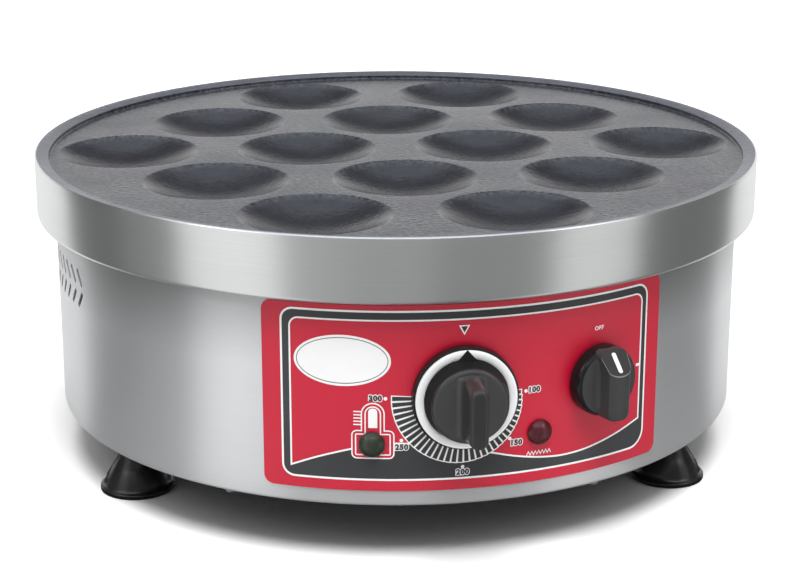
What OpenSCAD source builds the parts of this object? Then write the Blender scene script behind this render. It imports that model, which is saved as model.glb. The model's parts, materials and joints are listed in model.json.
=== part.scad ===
// Round electric pancake maker: a cast plate with dished cavities on a sheet-steel drum.
// The drum carries a curved control panel with a thermostat, a rotary switch and two lamps.
// Lengths are in millimetres. The origin is on the drum's axis at the table, -Y is the front, +Z is up.
// An azimuth is an angle about the drum's axis, counted from the front towards +X.

/* [Cooking plate] */
// Outside diameter of the plate and its skirt
plate_d = 400; // [390:1:430]
// Height of the skirt, from its lower edge to the rim
skirt_h = 33.4; // [26:0.2:38]
// Wall of the skirt, which is also the width of the rim
skirt_wall = 7.7; // [6:0.1:9]
// Radius of the skirt's lower outer edge
skirt_round = 2.5; // [1:0.1:7]
// Chamfer on the rim's outer edge
rim_chamfer = 0.8; // [0.2:0.1:2]
// Height of the rim above the plate's surface
rim_h = 3.8; // [2.6:0.1:8]
// Fall of the rim's top towards its inner edge
rim_fall = 1.4; // [0.2:0.1:2]
// Fillet between the plate's surface and the rim
rim_fillet = 1; // [0.5:0.1:2.4]
// Thickness of the plate under its surface
disc_t = 18; // [15:0.5:26]
// Turn of the plate about the drum's axis, in degrees
plate_turn = -8; // [-15:1:15]
// Turn of the feet about the drum's axis, in degrees
chassis_turn = -9; // [-15:1:15]

/* [Cavities] */
// Diameter of a cavity at the plate's surface
cavity_d = 79; // [60:1:81]
// Depth of a cavity at its middle
cavity_depth = 9.5; // [6:0.5:11]
// Radius of a cavity's rounded lip
cavity_lip = 5; // [2:0.5:8]
// Flat metal between the outer cavities and the rim
cavity_margin = 3.8; // [2.6:0.1:8]

/* [Drum] */
// Gap between the skirt and the drum
skirt_gap = 2.3; // [1:0.1:5]
// Height of the drum
drum_h = 116.8; // [108:0.2:140]
// Height of the drum's lower edge above the table
ground_gap = 31; // [26:0.5:45]
// Thickness of the drum's sheet
sheet_t = 1; // [0.8:0.1:1.5]
// Outside radius of the sheet's bends
bend_r = 2; // [1.6:0.1:3]
// Width of the flange under the plate
top_flange_w = 17; // [15:0.5:18]
// Width of the flange under the base plate
bottom_flange_w = 11; // [10:0.5:12]
// Thickness of the gasket under the plate
gasket_t = 1.5; // [1:0.1:3]
// Thickness of the base plate
base_t = 1.2; // [1:0.1:2]

/* [Vents] */
// Number of chevrons in each group of vents
vent_count = 10; // [4:1:12]
// Azimuth of the foremost chevron, on both sides
vent_az = 73; // [66:0.5:80]
// Step from chevron to chevron, in degrees
vent_step = 2.85; // [2.4:0.05:3.5]
// Length of a slot
vent_len = 11; // [8:0.5:13]
// Width of a slot
vent_w = 2.6; // [1.5:0.1:3]
// Lean of a slot, in degrees from upright
vent_tilt = 38; // [20:1:45]
// Height of the chevrons' points above the drum's lower edge
vent_z = 81.5; // [60:0.5:88]
// Height between the middles of a chevron's two slots
vent_split = 12.2; // [11:0.1:15]

/* [Feet] */
// Distance from the drum's wall to a foot's axis
foot_inset = 23; // [21.5:0.5:40]
// Diameter of a foot's flange
foot_d = 40; // [34:0.5:42]
// Thickness of the flange
foot_lip = 2.7; // [2:0.1:4]
// Diameter of the cone a little above the flange
foot_cone_d = 33; // [28:0.5:36]
// Height of that place on the cone
foot_cone_z = 7.7; // [6:0.1:10]
// Diameter of the neck
foot_neck_d = 20; // [16:0.5:21]
// Height of the neck's lower end
foot_neck_z = 18.4; // [14:0.1:20]

/* [Control panel] */
// Half of the panel's span about the drum's axis, in degrees
panel_half = 32; // [30:0.5:40]
// Height of the panel's lower edge above the drum's lower edge
panel_z = 8.5; // [5:0.5:12]
// Height of the panel
panel_h = 95.5; // [88:0.5:96]
// Thickness of the panel
panel_t = 0.6; // [0.4:0.1:1]
// Radius of the panel's corners
panel_corner = 5; // [2:0.5:10]
// Height of the control shafts above the drum's lower edge
control_z = 57.5; // [50:0.5:60]
// Height of the green lamp above the drum's lower edge
green_z = 33; // [28:0.1:38]
// Height of the red lamp above the drum's lower edge
red_z = 34.4; // [28:0.1:38]
// Gap between the panel and the underside of a knob
knob_gap = 0.8; // [0.5:0.1:2]

/* [Thermostat] */
// Azimuth of the thermostat's shaft
thermostat_az = -2.1; // [-3:0.1:0]
// Diameter of the knob's base
dial_d = 52.5; // [51:0.5:54]
// Height of the knob's base, up to the seat of the ring
dial_base_h = 5; // [2.6:0.1:6.5]
// Outside diameter of the knob's ring
dial_ring_d = 50; // [48:0.5:50.5]
// Width of the knob's ring
dial_ring_w = 3.8; // [2:0.1:4]
// Thickness of the knob's ring
dial_ring_t = 1.6; // [1:0.1:2.5]
// Height of the knob's body, up to the foot of its rib
dial_body_h = 16.6; // [10:0.1:18]
// Diameter of the top of the knob's body
dial_top_d = 38; // [36:0.5:41]
// Whole height of the knob
dial_h = 37; // [28:0.1:42]
// Width of the knob's rib
dial_rib_w = 9.4; // [7.2:0.1:12]
// Length of the rib's front face
dial_rib_len = 30.4; // [24:0.1:34]
// Width of the thermostat's body
thermostat_w = 36; // [30:1:40]
// Height of the thermostat's body
thermostat_h = 44; // [40:1:50]
// Depth of the thermostat's body
thermostat_depth = 34; // [32:1:40]
// Distance between the thermostat's two screws
thermostat_screw_gap = 28; // [24:0.5:32]
// Diameter of the thermostat's bulb
bulb_d = 6; // [5:0.1:7]
// Length of the thermostat's bulb
bulb_len = 50; // [35:1:52]
// Diameter of the capillary between the thermostat and its bulb
capillary_d = 2; // [1.5:0.1:3]
// Distance from the drum's wall to the bulb's axis
bulb_inset = 32; // [30:0.5:34]

/* [Switch] */
// Azimuth of the switch's shaft
switch_az = 19.65; // [18:0.1:22]
// Diameter of the knob's base
switch_knob_d = 36; // [35:0.5:40]
// Height of the knob's body, up to the foot of its rib
switch_body_h = 8.2; // [6:0.1:10]
// Diameter of the top of the knob's body
switch_top_d = 33; // [30:0.5:34.5]
// Whole height of the knob
switch_knob_h = 19; // [16:0.1:26]
// Width of the knob's rib
switch_rib_w = 12.6; // [8:0.1:14]
// Distance from the shaft to the start of the rib's sloping end
switch_slope_y = 6.3; // [4:0.1:8]
// Height of the sloping end at the knob's edge
switch_slope_h = 9.4; // [8.6:0.1:12]
// Width of the white mark on the sloping end
mark_w = 2; // [1:0.1:3]
// Length of the white mark
mark_len = 11; // [6:0.1:11.4]
// Thickness of the white mark
mark_t = 0.8; // [0.4:0.1:1.5]
// Width and height of the switch's body
switch_w = 34; // [30:1:40]
// Depth of the switch's body
switch_depth = 30; // [24:1:40]
// Distance between the switch's two screws
switch_screw_gap = 24; // [20:0.5:24.5]

/* [Lamps] */
// Azimuth of the green lamp
green_az = -15.55; // [-18:0.05:-14]
// Azimuth of the red lamp
red_az = 9.65; // [8.5:0.05:11]
// Diameter of a lamp's lens
lens_d = 13; // [11:0.1:16]
// Height of a lamp's lens
lens_h = 4.6; // [3:0.1:6]
// Diameter of a lamp's body behind the lens
lamp_d = 9.6; // [8:0.1:10.5]
// Depth of a lamp's body behind the drum's wall
lamp_depth = 24; // [18:1:30]

/* [Heating] */
// Diameter of an element's tube
tube_d = 8; // [6.5:0.1:9]
// Distance from the drum's wall to the outer element's ring
outer_ring_inset = 60; // [57:1:68]
// Distance between the two elements' rings
ring_gap = 65; // [58:1:72]
// Radius of an element's bend down to its leg
tube_bend_r = 12; // [10:0.5:16]
// Distance between the two legs of an element
leg_gap = 24; // [18:1:30]
// Width of a clamp
clamp_w = 20; // [14:1:26]
// Thickness of a clamp
clamp_t = 3; // [2:0.1:5]
// Distance from the drum's wall to the insulation pad
pad_inset = 42; // [38:1:46]
// Thickness of the insulation pad
pad_t = 8; // [5:0.5:12]
// Height of the heat shield's rim
shield_rim_h = 6; // [3:0.5:10]
// Length of an element's terminal pin
pin_len = 10; // [6:0.5:14]
// Diameter of an element's terminal pin
pin_d = 4; // [3:0.1:5]

/* [Supply] */
// Height of the cable gland above the drum's lower edge
gland_z = 26; // [22:0.5:40]
// Diameter of the gland's bore
gland_bore_d = 9.2; // [7:0.1:11]
// Diameter of the gland's threaded stem
gland_stem_d = 19.6; // [17:0.1:20.5]
// Width across the flats of the gland's hexagon
gland_hex = 24; // [22:0.5:27]
// Height of the gland's hexagon
gland_hex_h = 10; // [6:0.5:12]
// Length of the gland's cap
gland_cap_h = 23.4; // [18:0.2:28]
// Length of the gland's stem inside the drum
gland_stem_len = 12; // [9:0.5:16]
// Length of the terminal block
block_len = 62; // [50:1:80]
// Width of the terminal block
block_w = 26; // [20:1:32]
// Height of the terminal block
block_h = 20; // [14:1:28]
// Distance from the drum's wall to the terminal block's middle
block_inset = 62; // [55:1:75]

/* [Fasteners] */
// Diameter of the studs, and of the feet's screws
stud_d = 6; // [5:0.5:6.5]
// Diameter of the small screws
screw_d = 4; // [3:0.1:4.5]
// Diameter of the control shafts
shaft_d = 6; // [5:0.1:6.5]
// Size of a control shaft across its flat
shaft_flat = 4.6; // [4:0.1:4.8]
// Length of a control shaft in front of the drum's wall
shaft_out = 16; // [12:0.5:17]
// Length of a control shaft behind the drum's wall
shaft_in = 14; // [10:0.5:20]

/* [Fits] */
// Clearance around a shaft that turns in its bore
running_fit = 0.06; // [0.02:0.01:0.1]
// Clearance around a shaft in its knob, and around a screw in its thread
close_fit = 0.05; // [0.02:0.01:0.1]
// Clearance around a screw or a stud in a through hole
hole_fit = 0.3; // [0.1:0.05:0.5]
// Gap between a flat seat and the curved wall
seat_gap = 0.05; // [0.02:0.01:0.2]
// Gap between a round heater, bulb or ring and what it lies against
touch_gap = 0.2; // [0.05:0.05:0.4]
// Film of glue behind the panel
glue_gap = 0.05; // [0.02:0.01:0.2]

/* [Hidden] */
$fn = 96;
// Facets of the large turned pieces
drum_fn = 180;
// Overlap of a cut beyond the faces that it goes through
cut = 1;
// Depth of a cut through the drum's wall
wall_cut = 8;
// Radius of a slot's or a rib's round end, as a share of its width: a little under half
end_share = 0.49;

// Radii from the drum's axis
plate_r = plate_d / 2;
land_r = plate_r - skirt_wall;
drum_r = land_r - skirt_gap;
drum_in_r = drum_r - sheet_t;
bend_in_r = bend_r - sheet_t;
base_r = drum_in_r - bend_in_r - hole_fit;
foot_r = drum_r - foot_inset;
plate_stud_r = drum_r - top_flange_w / 2;
base_screw_r = (drum_r - bottom_flange_w + base_r) / 2;
panel_in_r = drum_r + glue_gap;
panel_out_r = panel_in_r + panel_t;
outer_ring_r = drum_r - outer_ring_inset;
inner_ring_r = outer_ring_r - ring_gap;
clamp_r = (inner_ring_r + outer_ring_r) / 2;
pad_r = drum_r - pad_inset;
block_y = drum_r - block_inset;

// Heights above the table
drum_z0 = ground_gap;
drum_z1 = drum_z0 + drum_h;
plate_z0 = drum_z1 + gasket_t;
plate_z1 = plate_z0 + disc_t;
rim_z = plate_z1 + rim_h;
skirt_z0 = rim_z - skirt_h;
base_z0 = drum_z0 + sheet_t;
base_z1 = base_z0 + base_t;
flange_z = drum_z1 - sheet_t;

// Cavities lie in staggered rows that fill the plate out to one reach
row_counts = [2, 3, 4, 3, 2];
cavity_reach = land_r - cavity_margin - cavity_d / 2;
cavity_step = cavity_reach * 2 / 3;
row_step = sqrt(pow(cavity_reach, 2) - pow(cavity_step / 2, 2)) / 2;
bowl_r = (pow(cavity_d / 2, 2) + pow(cavity_depth, 2)) / (2 * cavity_depth) - cavity_lip;
bowl_angle = asin(cavity_d / 2 / (bowl_r + cavity_lip));

// Fasteners
nut_across = 1.7;
nut_share = 0.8;
stud_nut_h = nut_share * stud_d;
screw_nut_h = nut_share * screw_d;
washer_d = 2 * stud_d;
washer_t = 1.6;
head_across = 1.75;
head_share = 0.6;
head_taper = 1;
head_room = 1;
screw_head_h = head_share * screw_d;
screw_tail = 1;
stud_tail = 3;
plate_stud_bite = 10;
web_skin = 2.5;
clamp_bite = disc_t - cavity_depth - web_skin;
foot_screw_len = 18;
tip_gap = 1;
panel_screw_len = 10;
plate_stud_lean = atan(cavity_step / row_step);
plate_stud_turns = [for (s = [-1, 1], lean = [-plate_stud_lean, plate_stud_lean]) s * (90 + lean)];
base_screw_count = 6;

// Lamps, each as its azimuth and its height
green_lamp = [green_az, green_z];
red_lamp = [red_az, red_z];
lamps = [green_lamp, red_lamp];

// Controls, in the local frame of a place on the drum's wall
face_z = glue_gap + panel_t;
knob_z = face_z + knob_gap;
recess_room = 0.9;
recess_h = screw_head_h - knob_z + recess_room;
knob_break = 0.4;
knob_shoulder = 0.8;
rib_sink = 1;
dial_foot_len = dial_top_d - 1;
switch_rib_len = switch_knob_d - 1;
shaft_room = 2;
standoff = 3;
neck_r = 7;
post_r = 4.5;
body_front = -sheet_t - standoff;
bulb_bend_r = 10;
bulb_x0 = -2;
bulb_y = plate_z0 - touch_gap - bulb_d / 2 - drum_z0 - control_z;
clip_x = bulb_x0 + bulb_len / 2;
clip_w = 10;
clip_t = 1;
clip_ear = 6.5;
clip_screw_d = 3;
clip_screw_len = 5;
clip_screw_z = bulb_d / 2 + touch_gap + clip_t + clip_ear / 2;

// Heater stack, downwards from the plate
element_z = plate_z0 - touch_gap - tube_d / 2;
clamp_z1 = element_z - tube_d / 2 - touch_gap;
clamp_z0 = clamp_z1 - clamp_t;
pad_z1 = clamp_z0 - stud_nut_h - touch_gap;
pad_z0 = pad_z1 - pad_t;
shield_z0 = pad_z0 - sheet_t;
shield_r = pad_r + touch_gap + sheet_t;
leg_tail = 8;
leg_end_z = shield_z0 - leg_tail;
leg_room = 2;
clamp_overhang = 8;
clamp_azimuths = [0, 120, 240];

// Slots in the base plate
base_vent_w = 4;
base_vent_len = 16;
base_vent_radii = [60, 85];
base_vent_turn = 30;

// Terminal block and gland
block_end = 1.5 * screw_d;
terminal_pitch = block_len / 5;
gland_nose_d = gland_stem_d - 1;
gland_nose_h = 8;
gland_nut_h = 5;
lamp_nut_d = lamp_d + 6;
lamp_nut_h = 3;

// Earth stud
earth_az = 150;
earth_r = block_y;
earth_len = 16;

coating = [0.24, 0.24, 0.26];
steel = [0.72, 0.72, 0.74];
zinc = [0.62, 0.63, 0.65];
black = [0.08, 0.08, 0.09];
brass = [0.78, 0.65, 0.35];
ceramic = [0.9, 0.88, 0.82];

// Points along an arc about a centre
function arc(centre, r, from, to, steps = 6) = [
    for (i = [0:steps])
        let (a = from + (to - from) * i / steps)
        [centre.x + r * cos(a), centre.y + r * sin(a)]
];

// Outline of a rectangle with round corners, about its middle
function rounded(w, h, r, steps = 6) = concat(
    arc([w / 2 - r, h / 2 - r], r, 0, 90, steps),
    arc([r - w / 2, h / 2 - r], r, 90, 180, steps),
    arc([r - w / 2, r - h / 2], r, 180, 270, steps),
    arc([w / 2 - r, r - h / 2], r, 270, 360, steps)
);

// Outline of an upright slot with round ends, about its middle
function slot(w, len) = rounded(w, len, end_share * w, 3);

// Diameter of the round recess that clears the heads of two screws
function recess_d(screw_gap) = screw_gap + screw_d * head_across + 2 * head_room;

// How far a curved wall falls away at a distance from where a flat seat meets it
function sag(x, r) = r - sqrt(r * r - x * x);

// A place on the drum's wall: local +Z points out, local +Y up
module at_wall(az, z) {
    rotate([0, 0, az])
        translate([0, -drum_r, drum_z0 + z])
            rotate([90, 0, 0])
                children();
}

// A place in the drum, at an azimuth and a radius
module at_azimuth(az, r, z) {
    rotate([0, 0, az])
        translate([0, -r, z])
            children();
}

module at_thermostat() {
    at_wall(thermostat_az, control_z) children();
}

module at_switch() {
    at_wall(switch_az, control_z) children();
}

module above_and_below(gap) {
    for (s = [-1, 1])
        translate([0, s * gap / 2, 0])
            children();
}

module hex_nut(d, h) {
    difference() {
        cylinder(d = d * nut_across / cos(30), h = h, $fn = 6);
        translate([0, 0, -cut])
            cylinder(d = d + 2 * close_fit, h = h + 2 * cut);
    }
}

module flat_washer() {
    difference() {
        cylinder(d = washer_d, h = washer_t);
        translate([0, 0, -cut])
            cylinder(d = stud_d + 2 * hole_fit, h = washer_t + 2 * cut);
    }
}

// A screw with its head's underside at z = 0 and its shank downwards
module pan_screw(d, len) {
    head_h = head_share * d;
    cylinder(d1 = d * head_across, d2 = d * head_across - head_taper, h = head_h);
    translate([0, 0, -len])
        cylinder(d = d, h = len + head_h / 2);
}

// A shaft with a flat on its outer end, or the bore that takes it
module flatted_shaft(from, to, clearance) {
    difference() {
        translate([0, 0, from])
            cylinder(d = shaft_d + 2 * clearance, h = to - from);
        translate([-shaft_d, shaft_flat - shaft_d / 2 + clearance, knob_z])
            cube([2 * shaft_d, shaft_d, shaft_out + standoff]);
    }
}

module cavity_places() {
    rotate([0, 0, plate_turn])
        for (row = [0:len(row_counts) - 1], i = [0:row_counts[row] - 1])
            translate([(i - (row_counts[row] - 1) / 2) * cavity_step, (row - 2) * row_step, plate_z1])
                children();
}

module plate_stud_places(z) {
    for (az = plate_stud_turns)
        at_azimuth(az + plate_turn, plate_stud_r, z)
            children();
}

module clamp_places(z) {
    for (az = clamp_azimuths)
        at_azimuth(az, clamp_r, z)
            children();
}

module foot_azimuth(i) {
    rotate([0, 0, chassis_turn - 60 + 120 * i])
        translate([0, -foot_r, 0])
            children();
}

module base_screw_places(z) {
    for (i = [0:base_screw_count - 1])
        at_azimuth(chassis_turn + (i + 0.5) * 360 / base_screw_count, base_screw_r, z)
            children();
}

module leg_places(r, z) {
    for (s = [0, 1])
        mirror([s, 0, 0])
            rotate([0, 0, asin((tube_bend_r + leg_gap / 2) / r)])
                translate([tube_bend_r, r, z])
                    children();
}

// The bulb's clip has a screw on either side of the bulb
module clip_screw_places() {
    at_thermostat()
        for (s = [-1, 1])
            translate([clip_x, plate_z0 - drum_z0 - control_z, s * clip_screw_z - bulb_inset])
                rotate([-90, 0, 0])
                    children();
}

module block_screw_places(z) {
    for (s = [-1, 1])
        translate([s * (block_len / 2 - block_end), block_y, z])
            children();
}

// Cutter for one cavity: a bowl and a lip that rolls over into the plate's surface
module cavity_cutter() {
    bowl = [
        for (i = [0:6])
            let (a = bowl_angle * i / 6)
            [bowl_r * sin(a), bowl_r * (1 - cos(a)) - cavity_depth]
    ];
    lip = arc([cavity_d / 2, -cavity_lip], cavity_lip, 90 + bowl_angle, 90, 4);
    lift = [[cavity_d / 2, cut], [0, cut]];
    rotate_extrude()
        polygon(concat(bowl, [for (i = [1:4]) lip[i]], lift));
}

module cooking_plate() {
    edge_land = 0.5;
    edge = min(skirt_round, skirt_wall - edge_land);
    inner_z = max(rim_z - rim_fall, plate_z1 + rim_fillet + rim_chamfer);
    outline = concat(
        [[0, plate_z0], [land_r, plate_z0], [land_r, skirt_z0]],
        arc([plate_r - edge, skirt_z0 + edge], edge, -90, 0, 8),
        [[plate_r, rim_z - rim_chamfer], [plate_r - rim_chamfer, rim_z], [land_r + rim_chamfer / 2, inner_z]],
        [[land_r, inner_z - rim_chamfer / 2]],
        arc([land_r - rim_fillet, plate_z1 + rim_fillet], rim_fillet, 0, -90, 4),
        [[0, plate_z1]]
    );
    color(coating)
        difference() {
            rotate_extrude($fn = drum_fn) polygon(outline);
            cavity_places() cavity_cutter();
            plate_stud_places(plate_z0 - cut)
                cylinder(d = stud_d + 2 * close_fit, h = plate_stud_bite + cut);
            clamp_places(plate_z0 - cut)
                cylinder(d = stud_d + 2 * close_fit, h = clamp_bite + cut);
            clip_screw_places()
                translate([0, 0, -cut])
                    cylinder(d = clip_screw_d + 2 * close_fit, h = clip_screw_len + cut);
        }
}

module plate_gasket() {
    color([0.85, 0.83, 0.78])
        difference() {
            translate([0, 0, drum_z1])
                cylinder(r = drum_r - bend_r, h = gasket_t);
            translate([0, 0, drum_z1 - cut])
                cylinder(r = drum_r - top_flange_w, h = gasket_t + 2 * cut);
            plate_stud_places(drum_z1 - cut)
                cylinder(d = stud_d + 2 * hole_fit, h = gasket_t + 2 * cut);
        }
}

module plate_studs() {
    low = flange_z - washer_t - stud_nut_h - stud_tail;
    color(zinc)
        plate_stud_places(low)
            cylinder(d = stud_d, h = plate_z0 + plate_stud_bite - close_fit - low);
}

module plate_washers() {
    color(zinc)
        plate_stud_places(flange_z - washer_t)
            flat_washer();
}

module plate_nuts() {
    color(zinc)
        plate_stud_places(flange_z - washer_t - stud_nut_h)
            hex_nut(stud_d, stud_nut_h);
}

// One leaning slot of a chevron, cut through the wall
module vent_slot() {
    linear_extrude(height = wall_cut, center = true)
        polygon(slot(vent_w, vent_len));
}

module vent_cuts() {
    for (side = [0, 1], i = [0:vent_count - 1], up = [-1, 1])
        mirror([side, 0, 0])
            at_wall(-vent_az - i * vent_step, vent_z + up * vent_split / 2)
                rotate([0, 0, up * vent_tilt])
                    vent_slot();
}

module wall_hole(d) {
    translate([0, 0, -2 * sheet_t - sag(d / 2, drum_r)])
        cylinder(d = d, h = 4 * sheet_t + sag(d / 2, drum_r));
}

module body_shell() {
    corner = drum_r - bend_r;
    outline = concat(
        [[drum_r - bottom_flange_w, drum_z0]],
        arc([corner, drum_z0 + bend_r], bend_r, -90, 0, 4),
        arc([corner, drum_z1 - bend_r], bend_r, 0, 90, 4),
        [[drum_r - top_flange_w, drum_z1], [drum_r - top_flange_w, flange_z]],
        arc([corner, drum_z1 - bend_r], bend_in_r, 90, 0, 4),
        arc([corner, drum_z0 + bend_r], bend_in_r, 0, -90, 4),
        [[drum_r - bottom_flange_w, base_z0]]
    );
    color(steel)
        difference() {
            rotate_extrude($fn = drum_fn) polygon(outline);
            vent_cuts();
            at_thermostat() {
                wall_hole(shaft_d + 2 * shaft_room);
                above_and_below(thermostat_screw_gap) wall_hole(screw_d + 2 * hole_fit);
            }
            at_switch() {
                wall_hole(shaft_d + 2 * shaft_room);
                above_and_below(switch_screw_gap) wall_hole(screw_d + 2 * hole_fit);
            }
            for (lamp = lamps)
                at_wall(lamp[0], lamp[1]) wall_hole(lamp_d + 2 * hole_fit);
            at_wall(180, gland_z) wall_hole(gland_stem_d + 2 * hole_fit);
            plate_stud_places(flange_z - cut)
                cylinder(d = stud_d + 2 * hole_fit, h = sheet_t + 2 * cut);
            base_screw_places(drum_z0 - cut)
                cylinder(d = screw_d + 2 * hole_fit, h = sheet_t + 2 * cut);
        }
}

module base_plate() {
    color(zinc)
        difference() {
            translate([0, 0, base_z0]) cylinder(r = base_r, h = base_t);
            for (i = [0:2])
                foot_azimuth(i)
                    translate([0, 0, base_z0 - cut])
                        cylinder(d = stud_d + 2 * hole_fit, h = base_t + 2 * cut);
            base_screw_places(base_z0 - cut)
                cylinder(d = screw_d + 2 * hole_fit, h = base_t + 2 * cut);
            block_screw_places(base_z0 - cut)
                cylinder(d = screw_d + 2 * hole_fit, h = base_t + 2 * cut);
            at_azimuth(earth_az, earth_r, base_z0 - cut)
                cylinder(d = stud_d + 2 * close_fit, h = base_t + 2 * cut);
            for (az = [0:base_vent_turn:360 - base_vent_turn], r = base_vent_radii)
                at_azimuth(az, r, base_z0 - cut)
                    linear_extrude(height = base_t + 2 * cut)
                        polygon(slot(base_vent_w, base_vent_len));
        }
}

module base_screws() {
    color(zinc)
        base_screw_places(drum_z0)
            rotate([180, 0, 0])
                pan_screw(screw_d, sheet_t + base_t + screw_nut_h + screw_tail);
}

module base_nuts() {
    color(zinc)
        base_screw_places(base_z1)
            hex_nut(screw_d, screw_nut_h);
}

module foot(i) {
    flange = foot_d / 2;
    round_edge = 0.8;
    outline = concat(
        [[0, 0]],
        arc([flange - round_edge, round_edge], round_edge, -90, 0, 3),
        arc([flange - round_edge, foot_lip - round_edge], round_edge, 0, 90, 3),
        [[(flange + foot_cone_d / 2) / 2, foot_lip + round_edge], [foot_cone_d / 2, foot_cone_z]],
        [[foot_neck_d / 2, foot_neck_z], [foot_neck_d / 2, base_z0], [0, base_z0]]
    );
    color(black)
        foot_azimuth(i)
            difference() {
                rotate_extrude() polygon(outline);
                translate([0, 0, base_z0 - foot_screw_len])
                    cylinder(d = stud_d + 2 * close_fit, h = foot_screw_len + cut);
            }
}

module foot_left() {
    foot(0);
}

module foot_right() {
    foot(1);
}

module foot_rear() {
    foot(2);
}

module foot_screws() {
    color(zinc)
        for (i = [0:2])
            foot_azimuth(i)
                translate([0, 0, base_z1])
                    pan_screw(stud_d, foot_screw_len + base_t - tip_gap);
}

// A skin on the drum's front with holes for the shafts, their screws and the lamps
module control_overlay() {
    width = 2 * drum_r * sin(panel_half);
    color([0.8, 0.16, 0.24])
        difference() {
            intersection() {
                translate([0, 0, drum_z0 + panel_z]) cylinder(r = panel_out_r, h = panel_h, $fn = drum_fn);
                translate([0, 0, drum_z0 + panel_z + panel_h / 2])
                    rotate([90, 0, 0])
                        linear_extrude(height = drum_r + 2 * knob_z)
                            polygon(rounded(width, panel_h, panel_corner));
            }
            translate([0, 0, drum_z0]) cylinder(r = panel_in_r, h = drum_h, $fn = drum_fn);
            at_thermostat() wall_hole(recess_d(thermostat_screw_gap));
            at_switch() wall_hole(recess_d(switch_screw_gap));
            for (lamp = lamps)
                at_wall(lamp[0], lamp[1]) wall_hole(lamp_d + 2 * hole_fit);
        }
}

// A rib across a knob: a side outline in height, held to a width with round ends
module rib(side, w, len) {
    intersection() {
        rotate([90, 0, 90])
            linear_extrude(height = 2 * w, center = true)
                polygon(side);
        linear_extrude(height = 2 * dial_h)
            polygon(rounded(w, len, end_share * w));
    }
}

module thermostat_knob() {
    edge = dial_d / 2;
    ring_in = dial_ring_d / 2 - dial_ring_w - touch_gap;
    seat = knob_z + dial_base_h;
    ring_top = seat + dial_ring_t;
    wing = knob_z + dial_body_h;
    top = knob_z + dial_h;
    rib_front = dial_rib_len / 2;
    rib_round = 3;
    rib_shift = 0.8;
    foot_end = dial_foot_len / 2;
    shoulder_r = dial_top_d / 2;
    turned = concat(
        [[0, knob_z], [edge - knob_break, knob_z], [edge, knob_z + knob_break]],
        [[edge, seat - knob_shoulder], [edge - knob_shoulder, seat], [ring_in, seat], [ring_in, ring_top]],
        [[shoulder_r, wing - knob_shoulder], [shoulder_r - knob_shoulder, wing], [0, wing]]
    );
    side = concat(
        [[-foot_end, wing - rib_sink], [foot_end, wing - rib_sink]],
        arc([rib_front - rib_round + rib_shift, top - rib_round], rib_round, 0, 90, 4),
        arc([rib_round - rib_front + rib_shift, top - rib_round], rib_round, 90, 180, 4)
    );
    pointer_w = 4.2;
    pointer_h = 2;
    pointer_tip = 0.4;
    color(black)
        at_thermostat()
            difference() {
                union() {
                    rotate_extrude() polygon(turned);
                    rib(side, dial_rib_w, dial_foot_len);
                    translate([0, 0, ring_top + touch_gap])
                        linear_extrude(height = pointer_h)
                            polygon([
                                [-pointer_w, ring_in - pointer_w], [pointer_w, ring_in - pointer_w],
                                [pointer_tip, dial_ring_d / 2], [-pointer_tip, dial_ring_d / 2]
                            ]);
                }
                translate([0, 0, knob_z - cut])
                    cylinder(d = recess_d(thermostat_screw_gap), h = recess_h + cut);
                flatted_shaft(knob_z - cut, shaft_out + touch_gap, close_fit);
            }
}

module thermostat_knob_ring() {
    outside = dial_ring_d / 2;
    inside = outside - dial_ring_w;
    seat = knob_z + dial_base_h;
    top = seat + dial_ring_t;
    bevel = 0.5;
    color([0.86, 0.87, 0.88])
        at_thermostat()
            rotate_extrude()
                polygon([
                    [inside, seat], [outside, seat], [outside, top - bevel], [outside - bevel, top],
                    [inside + bevel, top], [inside, top - bevel]
                ]);
}

module thermostat_shaft() {
    color(zinc)
        at_thermostat()
            flatted_shaft(-shaft_in, shaft_out, 0);
}

// A control behind the wall: a box on two screw posts and a neck that holds the shaft
module control_body(w, h, depth, screw_gap) {
    reach = standoff - sag(neck_r, drum_in_r) - seat_gap;
    difference() {
        union() {
            translate([-w / 2, -h / 2, body_front - depth])
                cube([w, h, depth]);
            translate([0, 0, body_front - cut])
                cylinder(r = neck_r, h = reach + cut);
            above_and_below(screw_gap)
                translate([0, 0, body_front - cut])
                    cylinder(r = post_r, h = reach + cut);
        }
        translate([0, 0, -shaft_in - touch_gap])
            cylinder(d = shaft_d + 2 * running_fit, h = shaft_in + cut);
        above_and_below(screw_gap)
            translate([0, 0, -panel_screw_len - touch_gap])
                cylinder(d = screw_d + 2 * close_fit, h = panel_screw_len + cut);
    }
}

module thermostat_body() {
    color([0.75, 0.74, 0.7])
        at_thermostat()
            control_body(thermostat_w, thermostat_h, thermostat_depth, thermostat_screw_gap);
}

module thermostat_screws() {
    color(zinc)
        at_thermostat()
            above_and_below(thermostat_screw_gap)
                pan_screw(screw_d, panel_screw_len);
}

// The capillary rises from the thermostat and bends into the bulb under the plate
module thermostat_capillary() {
    x = bulb_x0 - bulb_bend_r;
    rise = bulb_y - bulb_bend_r - thermostat_h / 2;
    color([0.75, 0.5, 0.35])
        at_thermostat()
            translate([0, 0, -bulb_inset]) {
                translate([x, thermostat_h / 2, 0])
                    rotate([-90, 0, 0])
                        cylinder(d = capillary_d, h = rise);
                translate([bulb_x0, bulb_y - bulb_bend_r, 0])
                    rotate([0, 0, 90])
                        rotate_extrude(angle = 90)
                            translate([bulb_bend_r, 0])
                                circle(d = capillary_d);
            }
}

module thermostat_bulb() {
    color([0.75, 0.5, 0.35])
        at_thermostat()
            translate([bulb_x0, bulb_y, -bulb_inset])
                rotate([0, 90, 0])
                    cylinder(d = bulb_d, h = bulb_len);
}

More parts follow.
